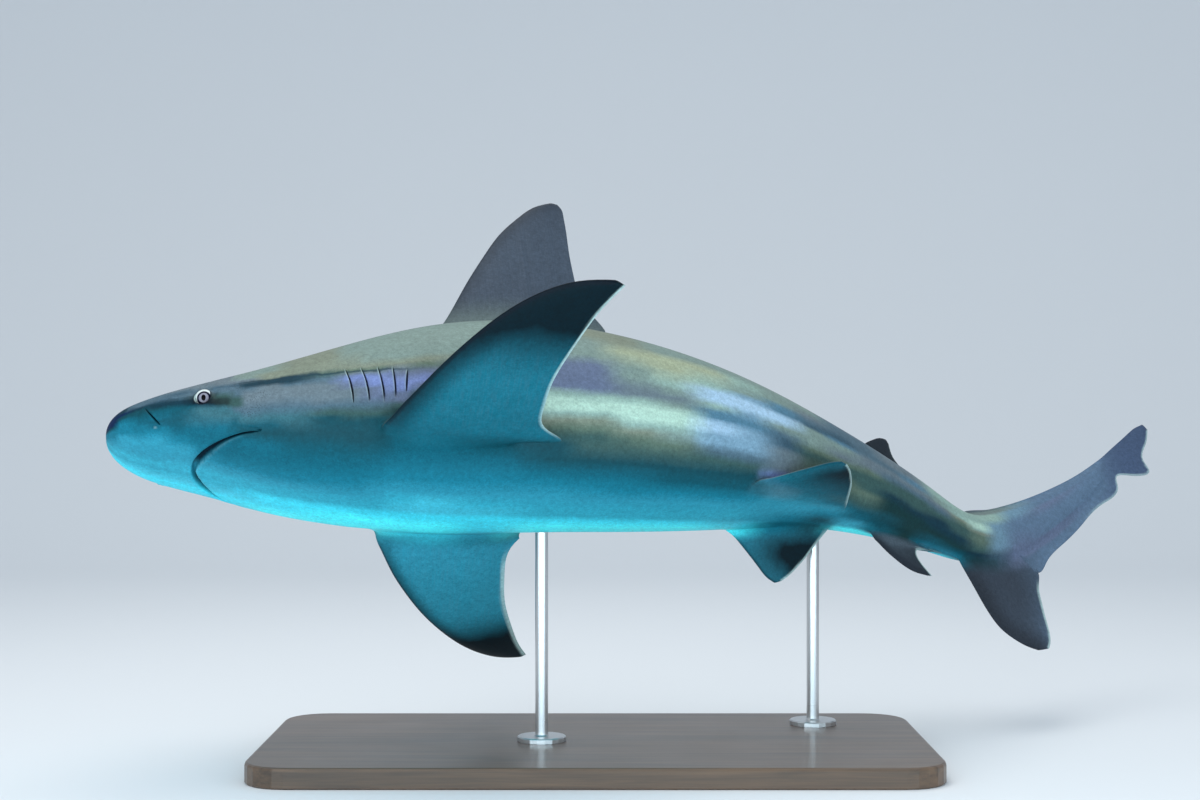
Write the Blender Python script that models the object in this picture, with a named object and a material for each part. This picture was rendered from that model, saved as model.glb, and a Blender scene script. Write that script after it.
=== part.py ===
"""Life-size sandbar shark, swimming and banked to its right, on a plain display stand.

Run with: blender --background --python part.py
Metres, +Z up. The nose points to -X, the shark's left side faces -Y, and the stand stands on Z = 0.

The animal is first drawn straight, in its own axes: "along" runs back from the tip of the snout,
"side" to the animal's right and "up" to its back. Those lengths are parts of TOTAL_LENGTH.
posed() then bends the straight animal along its spine, banks it and lifts it onto the stand.
"""
import math

import bmesh
import bpy
import numpy as np

# --- driving dimensions, in metres and degrees ---------------------------------------------------
TOTAL_LENGTH = 1.80
GAP = 0.0003  # between pieces that touch
FIN_EDGE = 0.0016  # thickness of a fin at its margins
SNOUT_PLACE = np.array([-0.660, -0.120, 0.450])  # tip of the snout, from the middle of the stand's foot
HEADING = 10.3  # the tail is further back (+Y) than the nose
PITCH = 0.0
BANK = 35.5  # the left side is rolled up, which shows the belly to -Y

# --- the swimming bend of the spine --------------------------------------------------------------
SPINE_AT = (0.0, 0.15, 0.35, 0.50, 0.62, 0.735, 0.86, 1.0)
SPINE_TURN = (0.5, -1.4, 3.9, 17.5, 27.5, 30.6, 15.1, -1.2)  # degrees towards the right side
SPINE_RISE = (-1.6, -0.4, 0.8, -1.6, -3.5, -2.1, 2.3, 4.0)  # degrees towards the back
SPINE_STEPS = 200

# --- the body's outline, from the snout to the thin end of the tail's axis ------------------------
# along, half width, top, belly, level of the widest point
BODY = (
    (0.000, 0.037, 0.014, -0.017, 0.000),
    (0.030, 0.0480, 0.0190, -0.0250, 0.000),
    (0.076, 0.0560, 0.0300, -0.0345, 0.000),
    (0.120, 0.0640, 0.0430, -0.0460, -0.002),
    (0.180, 0.0740, 0.0640, -0.0595, -0.003),
    (0.240, 0.0775, 0.0830, -0.0665, -0.002),
    (0.310, 0.0755, 0.0925, -0.0705, 0.000),
    (0.400, 0.0685, 0.0810, -0.0705, 0.000),
    (0.490, 0.0550, 0.0605, -0.0610, 0.000),
    (0.560, 0.0405, 0.0465, -0.0465, 0.000),
    (0.630, 0.0285, 0.0365, -0.0355, 0.000),
    (0.690, 0.0205, 0.0270, -0.0290, 0.000),
    (0.735, 0.0160, 0.0205, -0.0250, 0.000),
    (0.790, 0.0105, 0.0400, -0.0080, 0.016),
    (0.860, 0.0065, 0.0710, 0.0340, 0.052),
    (0.930, 0.0035, 0.1090, 0.0860, 0.098),
)
SNOUT_TIP = 0.0030  # station where the snout begins
SNOUT_ROUND_SIDE = 0.080  # over this length the snout's width grows from nothing
SNOUT_ROUND_UP = 0.046  # and over this one its height
BACK_FULLNESS = 2.15  # superellipse exponents of the section: 2 is an ellipse, more is squarer
BELLY_FULLNESS = 2.25
HEAD_FULLNESS = 2.5  # the underside of the head is flatter

HEAD_END = 0.235
TRUNK_END = 0.530
STALK_END = 0.735
AXIS_END = 0.930


def spline(at, values, where):
    """Natural cubic spline through values, which may be rows of several numbers."""
    at = np.asarray(at, float)
    values = np.asarray(values, float).reshape(len(at), -1)
    where = np.atleast_1d(np.asarray(where, float))
    step = np.diff(at)
    slope = np.diff(values, axis=0) / step[:, None]
    system = np.eye(len(at))
    right = np.zeros_like(values)
    for i in range(1, len(at) - 1):
        system[i, i - 1 : i + 2] = step[i - 1], 2 * (step[i - 1] + step[i]), step[i]
        right[i] = 6 * (slope[i] - slope[i - 1])
    bend = np.linalg.solve(system, right)
    k = np.clip(np.searchsorted(at, where, side="right") - 1, 0, len(at) - 2)
    t = (where - at[k])[:, None]
    h = step[k][:, None]
    linear = slope[k] - h * (2 * bend[k] + bend[k + 1]) / 6
    return values[k] + t * linear + t**2 * bend[k] / 2 + t**3 * (bend[k + 1] - bend[k]) / (6 * h)


# --- pose ----------------------------------------------------------------------------------------
def spine_table():
    """Places of the spine and its heading and rise, at even steps along it."""
    at = np.linspace(0, 1.02, SPINE_STEPS)
    turn, rise = np.radians(spline(SPINE_AT, np.stack([SPINE_TURN, SPINE_RISE], 1), at)).T
    way = np.stack([np.cos(turn) * np.cos(rise), np.sin(turn) * np.cos(rise), np.sin(rise)], 1)
    steps = (way[1:] + way[:-1]) / 2 * np.diff(at)[:, None]
    return at, np.concatenate([np.zeros((1, 3)), np.cumsum(steps, axis=0)]), turn, rise


SPINE = spine_table()


def body_axes():
    """The world directions of the straight animal's along, side and up."""
    heading, pitch, bank = (math.radians(a) for a in (HEADING, PITCH, BANK))
    level = math.cos(pitch)
    along = np.array([math.cos(heading) * level, math.sin(heading) * level, math.sin(pitch)])
    level_side = np.array([-math.sin(heading), math.cos(heading), 0])
    side = level_side * math.cos(bank) - np.cross(along, level_side) * math.sin(bank)
    return np.array([along, side, np.cross(along, side)])


def posed(points):
    """Points of the straight animal, in parts of its length, carried to the world in metres."""
    points = np.asarray(points, float).reshape(-1, 3)
    at, places, turns, rises = SPINE
    place = np.stack([np.interp(points[:, 0], at, places[:, k]) for k in range(3)], 1)
    turn, rise = np.interp(points[:, 0], at, turns), np.interp(points[:, 0], at, rises)
    way = np.stack([np.cos(turn) * np.cos(rise), np.sin(turn) * np.cos(rise), np.sin(rise)], 1)
    side = np.stack([-np.sin(turn), np.cos(turn), 0 * turn], 1)
    bent = place + side * points[:, 1:2] + np.cross(way, side) * points[:, 2:3]
    return bent @ body_axes() * TOTAL_LENGTH + SNOUT_PLACE


# --- body sections -------------------------------------------------------------------------------
def rounded(at, length):
    """Rises from 0 at the tip of the snout to 1, as a slightly square quarter of an ellipse."""
    left = np.clip(1 - (at - SNOUT_TIP) / length, 0, 1)
    return (1 - left**2.2) ** (1 / 2.2)


def section(at, angles, grow=0.0):
    """The body's skin at stations and angles, 0 on the right flank and a quarter turn at the back."""
    at = np.atleast_1d(at)
    table = np.array(BODY)
    half, top, belly, level = spline(table[:, 0], table[:, 1:], at).T
    half = half * rounded(at, SNOUT_ROUND_SIDE) + grow
    top, belly = top * rounded(at, SNOUT_ROUND_UP) + grow, belly * rounded(at, SNOUT_ROUND_UP) - grow
    headness = np.clip((HEAD_END - at) / (HEAD_END / 2), 0, 1)
    under = BELLY_FULLNESS + (HEAD_FULLNESS - BELLY_FULLNESS) * headness
    cos, sin = np.cos(angles)[None], np.sin(angles)[None]
    power = np.where(sin > 0, 2 / BACK_FULLNESS, 2 / under[:, None])
    across = np.sign(cos) * np.abs(cos) ** power
    rise = np.abs(sin) ** power
    height = np.where(sin > 0, (top - level)[:, None] * rise, (belly - level)[:, None] * rise)
    points = np.empty((len(at), len(angles), 3))
    points[..., 0] = at[:, None]
    points[..., 1] = half[:, None] * across
    points[..., 2] = level[:, None] + height
    return points


def surface_point(at, angle_deg, lift=0.0):
    """A point on the body's skin, raised by lift along the section's outward direction."""
    angle = math.radians(angle_deg)
    point = section(at, np.array([angle]))[0, 0]
    ahead = section(at, np.array([angle + 0.02]))[0, 0]
    back = section(at, np.array([angle - 0.02]))[0, 0]
    tangent = ahead - back
    out = np.array([0.0, tangent[2], -tangent[1]])
    return point + out / np.linalg.norm(out) * lift


# --- fins ----------------------------------------------------------------------------------------
# Each row joins the front margin to the rear margin, from inside the body out to the apex:
# front along, front out, rear along, rear out. Median fins are drawn in the animal's own axes.
FIRST_DORSAL = (
    (0.236, 0.070, 0.340, 0.070),
    (0.2505, 0.0900, 0.352, 0.0870),
    (0.260, 0.1050, 0.393, 0.1020),
    (0.268, 0.1195, 0.381, 0.1240),
    (0.284, 0.1500, 0.3730, 0.1560),
    (0.301, 0.1790, 0.3715, 0.1850),
    (0.317, 0.2030, 0.3715, 0.2080),
    (0.333, 0.2200, 0.3710, 0.2230),
    (0.348, 0.2325, 0.3700, 0.2315),
    (0.361, 0.2375, 0.3670, 0.2365),
)
SECOND_DORSAL = (
    (0.609, 0.026, 0.643, 0.024),
    (0.6185, 0.0395, 0.653, 0.0340),
    (0.625, 0.0475, 0.688, 0.0355),
    (0.632, 0.0550, 0.671, 0.0430),
    (0.641, 0.0615, 0.6620, 0.0505),
    (0.650, 0.0665, 0.6595, 0.0585),
    (0.656, 0.0675, 0.6590, 0.0640),
)
ANAL = (
    (0.611, -0.024, 0.655, -0.020),
    (0.619, -0.0400, 0.671, -0.0305),
    (0.627, -0.0480, 0.703, -0.0305),
    (0.638, -0.0550, 0.675, -0.0360),
    (0.650, -0.0600, 0.6695, -0.0430),
    (0.664, -0.0625, 0.6735, -0.0510),
    (0.677, -0.0610, 0.6840, -0.0595),
)
TAIL_LOBE_UPPER = (
    (0.738, 0.016, 0.741, -0.012),
    (0.745, 0.0260, 0.775, -0.0040),
    (0.762, 0.0330, 0.800, 0.0000),
    (0.780, 0.0390, 0.8225, -0.0155),
    (0.800, 0.0475, 0.836, -0.0030),
    (0.824, 0.0580, 0.859, 0.0170),
    (0.868, 0.0780, 0.890, 0.0415),
    (0.905, 0.0965, 0.921, 0.0650),
    (0.928, 0.1100, 0.9425, 0.0830),
    (0.936, 0.1150, 0.9445, 0.0935),
    (0.950, 0.1250, 0.964, 0.0950),
    (0.963, 0.1340, 0.981, 0.0985),
    (0.975, 0.1425, 0.979, 0.1120),
    (0.984, 0.1480, 0.988, 0.1290),
    (0.992, 0.1510, 0.9955, 0.1450),
)
TAIL_LOBE_LOWER = (
    (0.720, -0.012, 0.806, 0.0100),
    (0.7255, -0.0300, 0.815, -0.0040),
    (0.735, -0.0470, 0.8225, -0.0175),
    (0.742, -0.0600, 0.8185, -0.0310),
    (0.750, -0.0735, 0.8170, -0.0460),
    (0.760, -0.0845, 0.8165, -0.0600),
    (0.772, -0.0905, 0.8165, -0.0720),
    (0.786, -0.0945, 0.8150, -0.0840),
    (0.799, -0.0958, 0.8110, -0.0920),
)
# Paired fins are drawn flat, from the front of their root: back, outwards, back, outwards.
PECTORAL = (
    (-0.003, -0.034, 0.062, -0.034),
    (0.000, 0.0000, 0.083, -0.0060),
    (0.002, 0.0130, 0.1225, 0.0130),
    (0.005, 0.0300, 0.1080, 0.0260),
    (0.011, 0.0530, 0.0980, 0.0530),
    (0.021, 0.0810, 0.0955, 0.0810),
    (0.0345, 0.1080, 0.0980, 0.1060),
    (0.051, 0.1320, 0.1025, 0.1280),
    (0.070, 0.1500, 0.1075, 0.1450),
    (0.091, 0.1610, 0.1130, 0.1570),
    (0.109, 0.1645, 0.1160, 0.1625),
)
PELVIC = (
    (0.000, -0.010, 0.058, -0.024),
    (0.002, 0.0010, 0.070, -0.0150),
    (0.0110, 0.0093, 0.1000, -0.0115),
    (0.0205, 0.0180, 0.0905, 0.0055),
    (0.0290, 0.0264, 0.0800, 0.0200),
    (0.0365, 0.0340, 0.0700, 0.0310),
    (0.0440, 0.0405, 0.0620, 0.0380),
    (0.0500, 0.0432, 0.0565, 0.0415),
)
# front of the root (along, side, up), then incidence, droop and sweep in degrees, and curl
PECTORAL_SET = {
    "left": ((0.2035, 0.0770, -0.0420), 6.1, 14.3, 8.0, 0.36),
    "right": ((0.2035, 0.0770, -0.0420), 3.1, 25.0, 11.9, 0.23),
}
PELVIC_SET = {
    "left": ((0.4800, 0.0368, -0.0537), -8.0, -2.0, 7.0, 0.02),
    "right": ((0.487, 0.030, -0.048), 11.0, 42.0, 16.3, -0.12),
}


def fin_rows(rows, count):
    """The rows of a fin, evened out to count rows by smooth curves through them."""
    rows = np.asarray(rows, float)
    moves = np.diff(rows, axis=0)
    strides = np.maximum(np.linalg.norm(moves[:, :2], axis=1), np.linalg.norm(moves[:, 2:], axis=1))
    chord = np.concatenate([[0], np.cumsum(strides)])
    return spline(chord, rows, np.linspace(0, chord[-1], count))


def fin_points(rows, count, columns, root, tip):
    """Rings of (back, outwards, through) points round a fin. root and tip are half thicknesses."""
    even = fin_rows(rows, count)
    u = (1 - np.cos(np.linspace(0, math.pi, columns))) / 2
    foil = 2.6 * np.sqrt(u) * (1 - u)
    half = root + (tip - root) * np.linspace(0, 1, count) ** 0.8
    half = np.minimum(half, 0.14 * np.linalg.norm(even[:, 2:] - even[:, :2], axis=1))
    through = np.maximum(half[:, None] * foil[None], FIN_EDGE / 2 / TOTAL_LENGTH)
    flat = even[:, None, :2] + u[None, :, None] * (even[:, None, 2:] - even[:, None, :2])
    near = np.concatenate([flat, -through[..., None]], axis=2)
    far = np.concatenate([flat, through[..., None]], axis=2)
    return np.concatenate([near, far[:, ::-1]], axis=1)


def median(points):
    """Places a median fin's points in the straight animal."""
    return points[..., [0, 2, 1]]


def paired(points, where, hand, reach):
    """Places a paired fin's points. hand is -1 for the left side and 1 for the right."""
    root, *angles, curl = where
    incidence, droop, sweep = (math.radians(a) for a in angles)
    back, out, through = points[..., 0], points[..., 1], points[..., 2]
    swept_back = back * math.cos(sweep) + out * math.sin(sweep)
    swept_out = -back * math.sin(sweep) + out * math.cos(sweep)
    through = through + curl * out * np.abs(out) / reach
    side = swept_out * math.cos(droop) + through * math.sin(droop)
    up = -swept_out * math.sin(droop) + through * math.cos(droop) - swept_back * math.sin(incidence)
    return np.stack([root[0] + swept_back, hand * (root[1] + side), root[2] + up], axis=-1)


# --- objects -------------------------------------------------------------------------------------
def material(name, color, roughness=0.5, metallic=0.0):
    """A Principled material, made once for each name."""
    made = bpy.data.materials.get(name)
    if made is None:
        made = bpy.data.materials.new(name)
        made.use_nodes = True
        shader = made.node_tree.nodes["Principled BSDF"]
        shader.inputs["Base Color"].default_value = (*color, 1)
        shader.inputs["Roughness"].default_value = roughness
        shader.inputs["Metallic"].default_value = metallic
    return made


def solid(name, rings, start=None, end=None, finish=None):
    """An object from rings of world points. An end with no pole is closed as a fin's ladder."""
    shape = bmesh.new()
    verts = [[shape.verts.new(p) for p in ring] for ring in rings]
    size = len(verts[0])
    for one, two in zip(verts, verts[1:]):
        for j in range(size):
            shape.faces.new((one[j], one[(j + 1) % size], two[(j + 1) % size], two[j]))
    for ring, pole in ((verts[0], start), (verts[-1], end)):
        if pole is not None:
            tip = shape.verts.new(pole)
            for j in range(size):
                shape.faces.new((ring[j], ring[(j + 1) % size], tip))
        else:
            for j in range(size // 2 - 1):
                shape.faces.new((ring[j], ring[j + 1], ring[size - 2 - j], ring[size - 1 - j]))
    return object_from(name, shape, finish)


def object_from(name, shape, finish=None):
    """Makes an object of a bmesh, with its faces turned outwards and cut into triangles."""
    bmesh.ops.recalc_face_normals(shape, faces=shape.faces)
    bmesh.ops.triangulate(shape, faces=shape.faces)
    mesh = bpy.data.meshes.new(name)
    shape.to_mesh(mesh)
    shape.free()
    made = bpy.data.objects.new(name, mesh)
    bpy.context.scene.collection.objects.link(made)
    if finish is None:
        made.hide_render = True
        made.display_type = "WIRE"
    else:
        mesh.materials.append(finish)
        mesh.shade_smooth()
        mesh.set_sharp_from_angle(angle=math.radians(35))
    return made


def boolean(made, other, operation="DIFFERENCE"):
    """Cuts an object with another, or joins the other to it, as a live modifier."""
    cut = made.modifiers.new(f"{operation.lower()} {other.name}", "BOOLEAN")
    cut.operation = operation
    cut.object = other
    cut.solver = "EXACT"


def ring_angles(count):
    """Angles of a body section's points: an even number, so that the ends close as a ladder."""
    return (np.arange(count) + 0.5) / count * math.tau - math.pi / 2


def length_of_body(name, stations, segments, finish, grow=0.0, snout=False, tail=False):
    """A stretch of the body between its first and last stations."""
    rings = section(np.asarray(stations), ring_angles(segments), grow)
    start = posed([(SNOUT_TIP - grow, 0, 0)])[0] if snout else None
    tip = rings[-1].mean(axis=0) + (0.004, 0, 0.003)
    end = posed([tip])[0] if tail else None
    return solid(name, [posed(ring) for ring in rings], start, end, finish)


def snout_stations(end, spacing, first=0.0010):
    """Stations from the snout: crowded where it is rounded, then evenly spaced to the end."""
    turns = np.linspace(math.acos(1 - first / SNOUT_ROUND_UP), math.pi / 2, 9)
    nose = SNOUT_TIP + SNOUT_ROUND_UP * (1 - np.cos(turns))
    return np.concatenate([nose, stations(nose[-1] + spacing, end, spacing)])


def stations(start, end, spacing):
    """Evenly spaced stations, both ends included."""
    return np.linspace(start, end, max(2, round((end - start) / spacing) + 1))


def axis_stations():
    """Stations of the body's axis inside the tail fin."""
    return stations(STALK_END + LENGTH_GAP, AXIS_END, 0.0240)


def blob(name, centre, radii, axes, finish=None, rings=9, segments=16):
    """An ellipsoid in the straight animal, with radii along three axes. The poles are on the last."""
    tilt = np.linspace(0, math.pi, rings + 2)[1:-1]
    turn = np.arange(segments) / segments * math.tau
    axes = np.asarray(axes) * np.asarray(radii)[:, None]
    centre = np.asarray(centre)
    made = []
    for t in tilt:
        around = np.stack([np.cos(turn), np.sin(turn)], axis=1) * math.sin(t)
        made.append(posed(centre + around @ axes[:2] + math.cos(t) * axes[2]))
    return solid(name, made, posed([centre + axes[2]])[0], posed([centre - axes[2]])[0], finish)


# --- features of the head ------------------------------------------------------------------------
EYE_AT, EYE_ANGLE = 0.0755, 0.0  # station, and degrees above the widest line of the head
EYE_RADIUS, EYE_DEPTH, EYE_SINK = 0.0095, 0.0046, 0.0028
GILL_AT = (0.1805, 0.1925, 0.2035, 0.2135, 0.2225)  # station of each slit's middle
GILL_TOP = (10.5, 10.0, 9.0, 7.5, 5.5)  # degrees above the widest line
GILL_FOOT = (-12.5, -13.0, -13.0, -11.5, -8.5)
GILL_LEAN = (0.005, 0.0045, 0.004, 0.002, -0.001)  # how far the foot lies behind the top
GILL_WIDTH, GILL_DEPTH = 0.0010, 0.0035
MOUTH_FRONT, MOUTH_CORNER, MOUTH_HALF = 0.066, 0.113, 0.0530  # stations and half width
JAW_BACK = 0.142
MOUTH_ROOF = -0.012
MOUTH_OPENING = 0.0011


def outward(at, angle_deg, hand):
    """Point, length-wise, upward and outward directions on the body's side."""
    point = surface_point(at, angle_deg)
    out = surface_point(at, angle_deg, 1.0) - point
    behind = surface_point(at + 0.004, angle_deg) - surface_point(at - 0.004, angle_deg)
    behind /= np.linalg.norm(behind)
    out -= behind * (out @ behind)
    out /= np.linalg.norm(out)
    flip = np.array([1, hand, 1])
    return point * flip, behind * flip, np.cross(out, behind) * flip, out * flip


def eye(name, hand, grow=0.0, finish=None):
    """The front of an eyeball, standing slightly proud of the head."""
    point, back, up, out = outward(EYE_AT, EYE_ANGLE, hand)
    radii = np.array([EYE_RADIUS, EYE_RADIUS, EYE_DEPTH]) + grow
    return blob(name, point - out * EYE_SINK, radii, (back, up, out), finish, 6, 14)


def gill_blades(name, hand):
    """Five thin curved blades that cut one side's gill slits."""
    shape = bmesh.new()
    for at, top, foot, lean in zip(GILL_AT, GILL_TOP, GILL_FOOT, GILL_LEAN):
        rings = []
        for t in np.linspace(0, 1, 4):
            bow = lean * (t - 0.5) + 0.0015 * math.sin(math.pi * t)
            width = GILL_WIDTH * (0.4 + 0.6 * math.sin(math.pi * t))
            angle = top + (foot - top) * t
            corners = []
            for step, lift in ((-1, 0.003), (1, 0.003), (1, -GILL_DEPTH), (-1, -GILL_DEPTH)):
                corners.append(surface_point(at + bow + step * width / 2, angle, lift) * (1, hand, 1))
            rings.append([shape.verts.new(p) for p in posed(corners)])
        for one, two in zip(rings, rings[1:]):
            for j in range(4):
                shape.faces.new((one[j], one[(j + 1) % 4], two[(j + 1) % 4], two[j]))
        shape.faces.new(rings[0])
        shape.faces.new(rings[-1][::-1])
    return object_from(name, shape)


def jaw_plug(name, front_gap=0.0, back_gap=0.0, corner_gap=0.0, count=15):
    """The block of the head's underside that the mouth and the jaw's hinge line enclose."""
    turn = np.linspace(-math.pi / 2, math.pi / 2, count)
    rim = [(JAW_BACK + back_gap, -MOUTH_HALF - corner_gap), (MOUTH_CORNER, -MOUTH_HALF - corner_gap)]
    for a in turn[1:-1]:
        reach = (MOUTH_CORNER - MOUTH_FRONT) + front_gap
        rim.append((MOUTH_CORNER - reach * math.cos(a) ** 1.25, (MOUTH_HALF + corner_gap) * math.sin(a)))
    rim += [(MOUTH_CORNER, MOUTH_HALF + corner_gap), (JAW_BACK + back_gap, MOUTH_HALF + corner_gap)]
    shape = bmesh.new()
    top = [shape.verts.new(p) for p in posed([(a, s, MOUTH_ROOF + back_gap) for a, s in rim])]
    low = [shape.verts.new(p) for p in posed([(a, s, -0.070) for a, s in rim])]
    shape.faces.new(top)
    shape.faces.new(low[::-1])
    for j in range(len(rim)):
        k = (j + 1) % len(rim)
        shape.faces.new((top[j], low[j], low[k], top[k]))
    return object_from(name, shape)


# --- the animal ----------------------------------------------------------------------------------
SKIN_BACK = material("skin of the back", (0.155, 0.150, 0.120), 0.45)
SKIN_BELLY = material("skin of the belly", (0.52, 0.56, 0.55), 0.45)
SKIN_FIN = material("skin of the fins", (0.130, 0.135, 0.130), 0.5)
EYE_BALL = material("eye", (0.10, 0.09, 0.11), 0.12)
STEEL = material("brushed steel", (0.55, 0.56, 0.57), 0.32, 1.0)
BOARD = material("painted board", (0.045, 0.048, 0.052), 0.42)

SEGMENTS = 32  # the same all along the body, so that what is trimmed to it keeps an even gap
HANDS = {"left": -1, "right": 1}
LENGTH_GAP = GAP / TOTAL_LENGTH
CLEAR = 1.3 * LENGTH_GAP


def build_body():
    """Head, lower jaw, trunk and tail stalk, and the swollen copy that trims what joins them."""
    head_at = snout_stations(HEAD_END, 0.0115)
    head = length_of_body("head", head_at, SEGMENTS, SKIN_BACK, snout=True)
    jaw = length_of_body("lower_jaw", head_at, SEGMENTS, SKIN_BELLY, snout=True)
    trunk_at = stations(HEAD_END + LENGTH_GAP, TRUNK_END, 0.0225)
    length_of_body("trunk", trunk_at, SEGMENTS, SKIN_BACK)
    stalk_at = stations(TRUNK_END + LENGTH_GAP, STALK_END, 0.0205)
    length_of_body("tail_stalk", stalk_at, SEGMENTS, SKIN_BACK)

    boolean(jaw, jaw_plug("jaw outline"), "INTERSECT")
    boolean(head, jaw_plug("jaw opening", MOUTH_OPENING, CLEAR, CLEAR))
    for side, hand in HANDS.items():
        boolean(head, gill_blades(f"gill blades {side}", hand))
        boolean(head, eye(f"eye socket {side}", hand, CLEAR))
        eye(f"eye_{side}", hand, 0.0, EYE_BALL)

    whole_at = np.concatenate([head_at, trunk_at[1:], stalk_at[1:], axis_stations()[1:]])
    return length_of_body("swollen body", whole_at, SEGMENTS, None, CLEAR, True, True)


def build_fins(body):
    """The median and paired fins, trimmed to the body."""
    medians = {
        "first_dorsal_fin": (FIRST_DORSAL, 13, 7, 0.0085, 0.0014),
        "second_dorsal_fin": (SECOND_DORSAL, 9, 6, 0.0040, 0.0008),
        "anal_fin": (ANAL, 10, 6, 0.0038, 0.0008),
    }
    for name, (rows, *sizes) in medians.items():
        fin = solid(name, [posed(ring) for ring in median(fin_points(rows, *sizes))], finish=SKIN_FIN)
        boolean(fin, body)
    for side, hand in HANDS.items():
        for kind, rows, settings, sizes in (
            ("pectoral", PECTORAL, PECTORAL_SET, (13, 8, 0.0090, 0.0013)),
            ("pelvic", PELVIC, PELVIC_SET, (10, 6, 0.0055, 0.0008)),
        ):
            reach = max(row[1] for row in rows)
            points = paired(fin_points(rows, *sizes), settings[side], hand, reach)
            fin = solid(f"{kind}_fin_{side}", [posed(ring) for ring in points], finish=SKIN_FIN)
            boolean(fin, body)


def build_tail(body):
    """The tail fin: its upper lobe carries the end of the body's axis, the lower one hangs under it."""
    upper_points = median(fin_points(TAIL_LOBE_UPPER, 22, 6, 0.0034, 0.0008))
    web = solid("upper web", [posed(ring) for ring in upper_points])
    upper = length_of_body("caudal_fin_upper_lobe", axis_stations(), SEGMENTS // 2, SKIN_FIN, tail=True)
    boolean(upper, web, "UNION")

    spread = upper_points.copy()
    spread[..., 1] = np.sign(spread[..., 1]) * 0.012
    size = spread.shape[1] // 2
    for near in (size - 1, size):
        run = np.gradient(spread[:, near], axis=0)
        away = np.stack([-run[:, 2], 0 * run[:, 0], run[:, 0]], axis=1)
        away *= np.sign(np.sum(away * (spread[:, near] - spread[:, 0]), axis=1))[:, None]
        spread[:, near] += away / np.linalg.norm(away, axis=1)[:, None] * CLEAR
    slab = solid("upper web trimmer", [posed(ring) for ring in spread])

    lower_points = median(fin_points(TAIL_LOBE_LOWER, 12, 6, 0.0036, 0.0008))
    lower = solid("caudal_fin_lower_lobe", [posed(ring) for ring in lower_points], finish=SKIN_FIN)
    boolean(lower, body)
    boolean(lower, slab)


# --- the stand -----------------------------------------------------------------------------------
BASE_SIZE = (0.92, 0.46, 0.028)
BASE_CORNER, BASE_BEVEL, CORNER_STEPS = 0.060, 0.004, 7
ROD_RADIUS = 0.009
FLANGE_RADIUS, FLANGE_HEIGHT, FLANGE_BEVEL = 0.034, 0.007, 0.0015
ROD_STATIONS = {"front": 0.330, "rear": 0.565}
ROD_SEGMENTS = 20


def build_base():
    """A flat board with rounded corners and eased edges."""
    half = [BASE_SIZE[0] / 2, BASE_SIZE[1] / 2]
    outlines = []
    for level, inset in (
        (0.0, BASE_BEVEL / 2),
        (BASE_BEVEL / 2, 0.0),
        (BASE_SIZE[2] - BASE_BEVEL, 0.0),
        (BASE_SIZE[2] - BASE_BEVEL * 0.3, BASE_BEVEL * 0.3),
        (BASE_SIZE[2], BASE_BEVEL),
    ):
        ring = []
        for quarter, (sx, sy) in enumerate(((1, 1), (-1, 1), (-1, -1), (1, -1))):
            centre = (sx * (half[0] - BASE_CORNER), sy * (half[1] - BASE_CORNER))
            for k in range(CORNER_STEPS):
                a = (quarter + k / (CORNER_STEPS - 1)) * math.pi / 2
                reach = BASE_CORNER - inset
                ring.append((centre[0] + reach * math.cos(a), centre[1] + reach * math.sin(a), level))
        outlines.append(ring[CORNER_STEPS // 2 :] + ring[: CORNER_STEPS // 2])
    solid("stand_base", outlines, finish=BOARD)


def build_rod(name, at, body):
    """A turned rod on a round foot, standing on the board and trimmed to the animal's underside."""
    centre = posed([(at, 0, section(at, np.array([0.0]))[0, 0, 2])])[0]
    foot = BASE_SIZE[2] + GAP
    profile = (
        (FLANGE_RADIUS, foot),
        (FLANGE_RADIUS, foot + FLANGE_HEIGHT - FLANGE_BEVEL),
        (FLANGE_RADIUS - FLANGE_BEVEL, foot + FLANGE_HEIGHT),
        (ROD_RADIUS + FLANGE_BEVEL, foot + FLANGE_HEIGHT),
        (ROD_RADIUS, foot + FLANGE_HEIGHT + FLANGE_BEVEL),
        (ROD_RADIUS, centre[2]),
    )
    turn = (np.arange(ROD_SEGMENTS) + 0.5) / ROD_SEGMENTS * math.tau
    rings = []
    for radius, level in profile:
        across, deep = centre[0] + radius * np.cos(turn), centre[1] + radius * np.sin(turn)
        rings.append(np.stack([across, deep, np.full(ROD_SEGMENTS, level)], axis=1))
    rod = solid(name, rings, finish=STEEL)
    boolean(rod, body)


def main():
    for old in list(bpy.data.objects):
        bpy.data.objects.remove(old)
    body = build_body()
    build_fins(body)
    build_tail(body)
    build_base()
    for place, at in ROD_STATIONS.items():
        build_rod(f"stand_rod_{place}", at, body)


main()
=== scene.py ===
"""Looks for the life-size sandbar shark: one skin over the solids, the eyes, the stand, the studio.

The animal is drawn straight first, in its own axes: "along" runs back from the tip of the snout,
"side" to the animal's right and "up" to its back, as parts of the total length. posed() bends it
along its spine, banks it and lifts it onto the stand.
"""

import math

import bmesh
import bpy
import numpy as np
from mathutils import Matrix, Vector
from mathutils.bvhtree import BVHTree
from mathutils.kdtree import KDTree


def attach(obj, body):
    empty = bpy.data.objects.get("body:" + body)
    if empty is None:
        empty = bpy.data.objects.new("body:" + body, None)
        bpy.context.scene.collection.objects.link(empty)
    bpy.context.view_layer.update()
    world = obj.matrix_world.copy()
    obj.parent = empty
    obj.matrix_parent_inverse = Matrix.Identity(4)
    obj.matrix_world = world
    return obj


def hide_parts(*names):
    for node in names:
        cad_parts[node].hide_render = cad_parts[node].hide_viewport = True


bl_info = {
    "name": "Sandbar Shark Looks",
    "version": (1, 0, 0),
    "blender": (4, 5, 0),
    "location": "3D View > Sidebar > Shark",
    "description": "Skin, eyes, stand finishes and studio for a life-size sandbar shark",
    "category": "Object",
}

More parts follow.
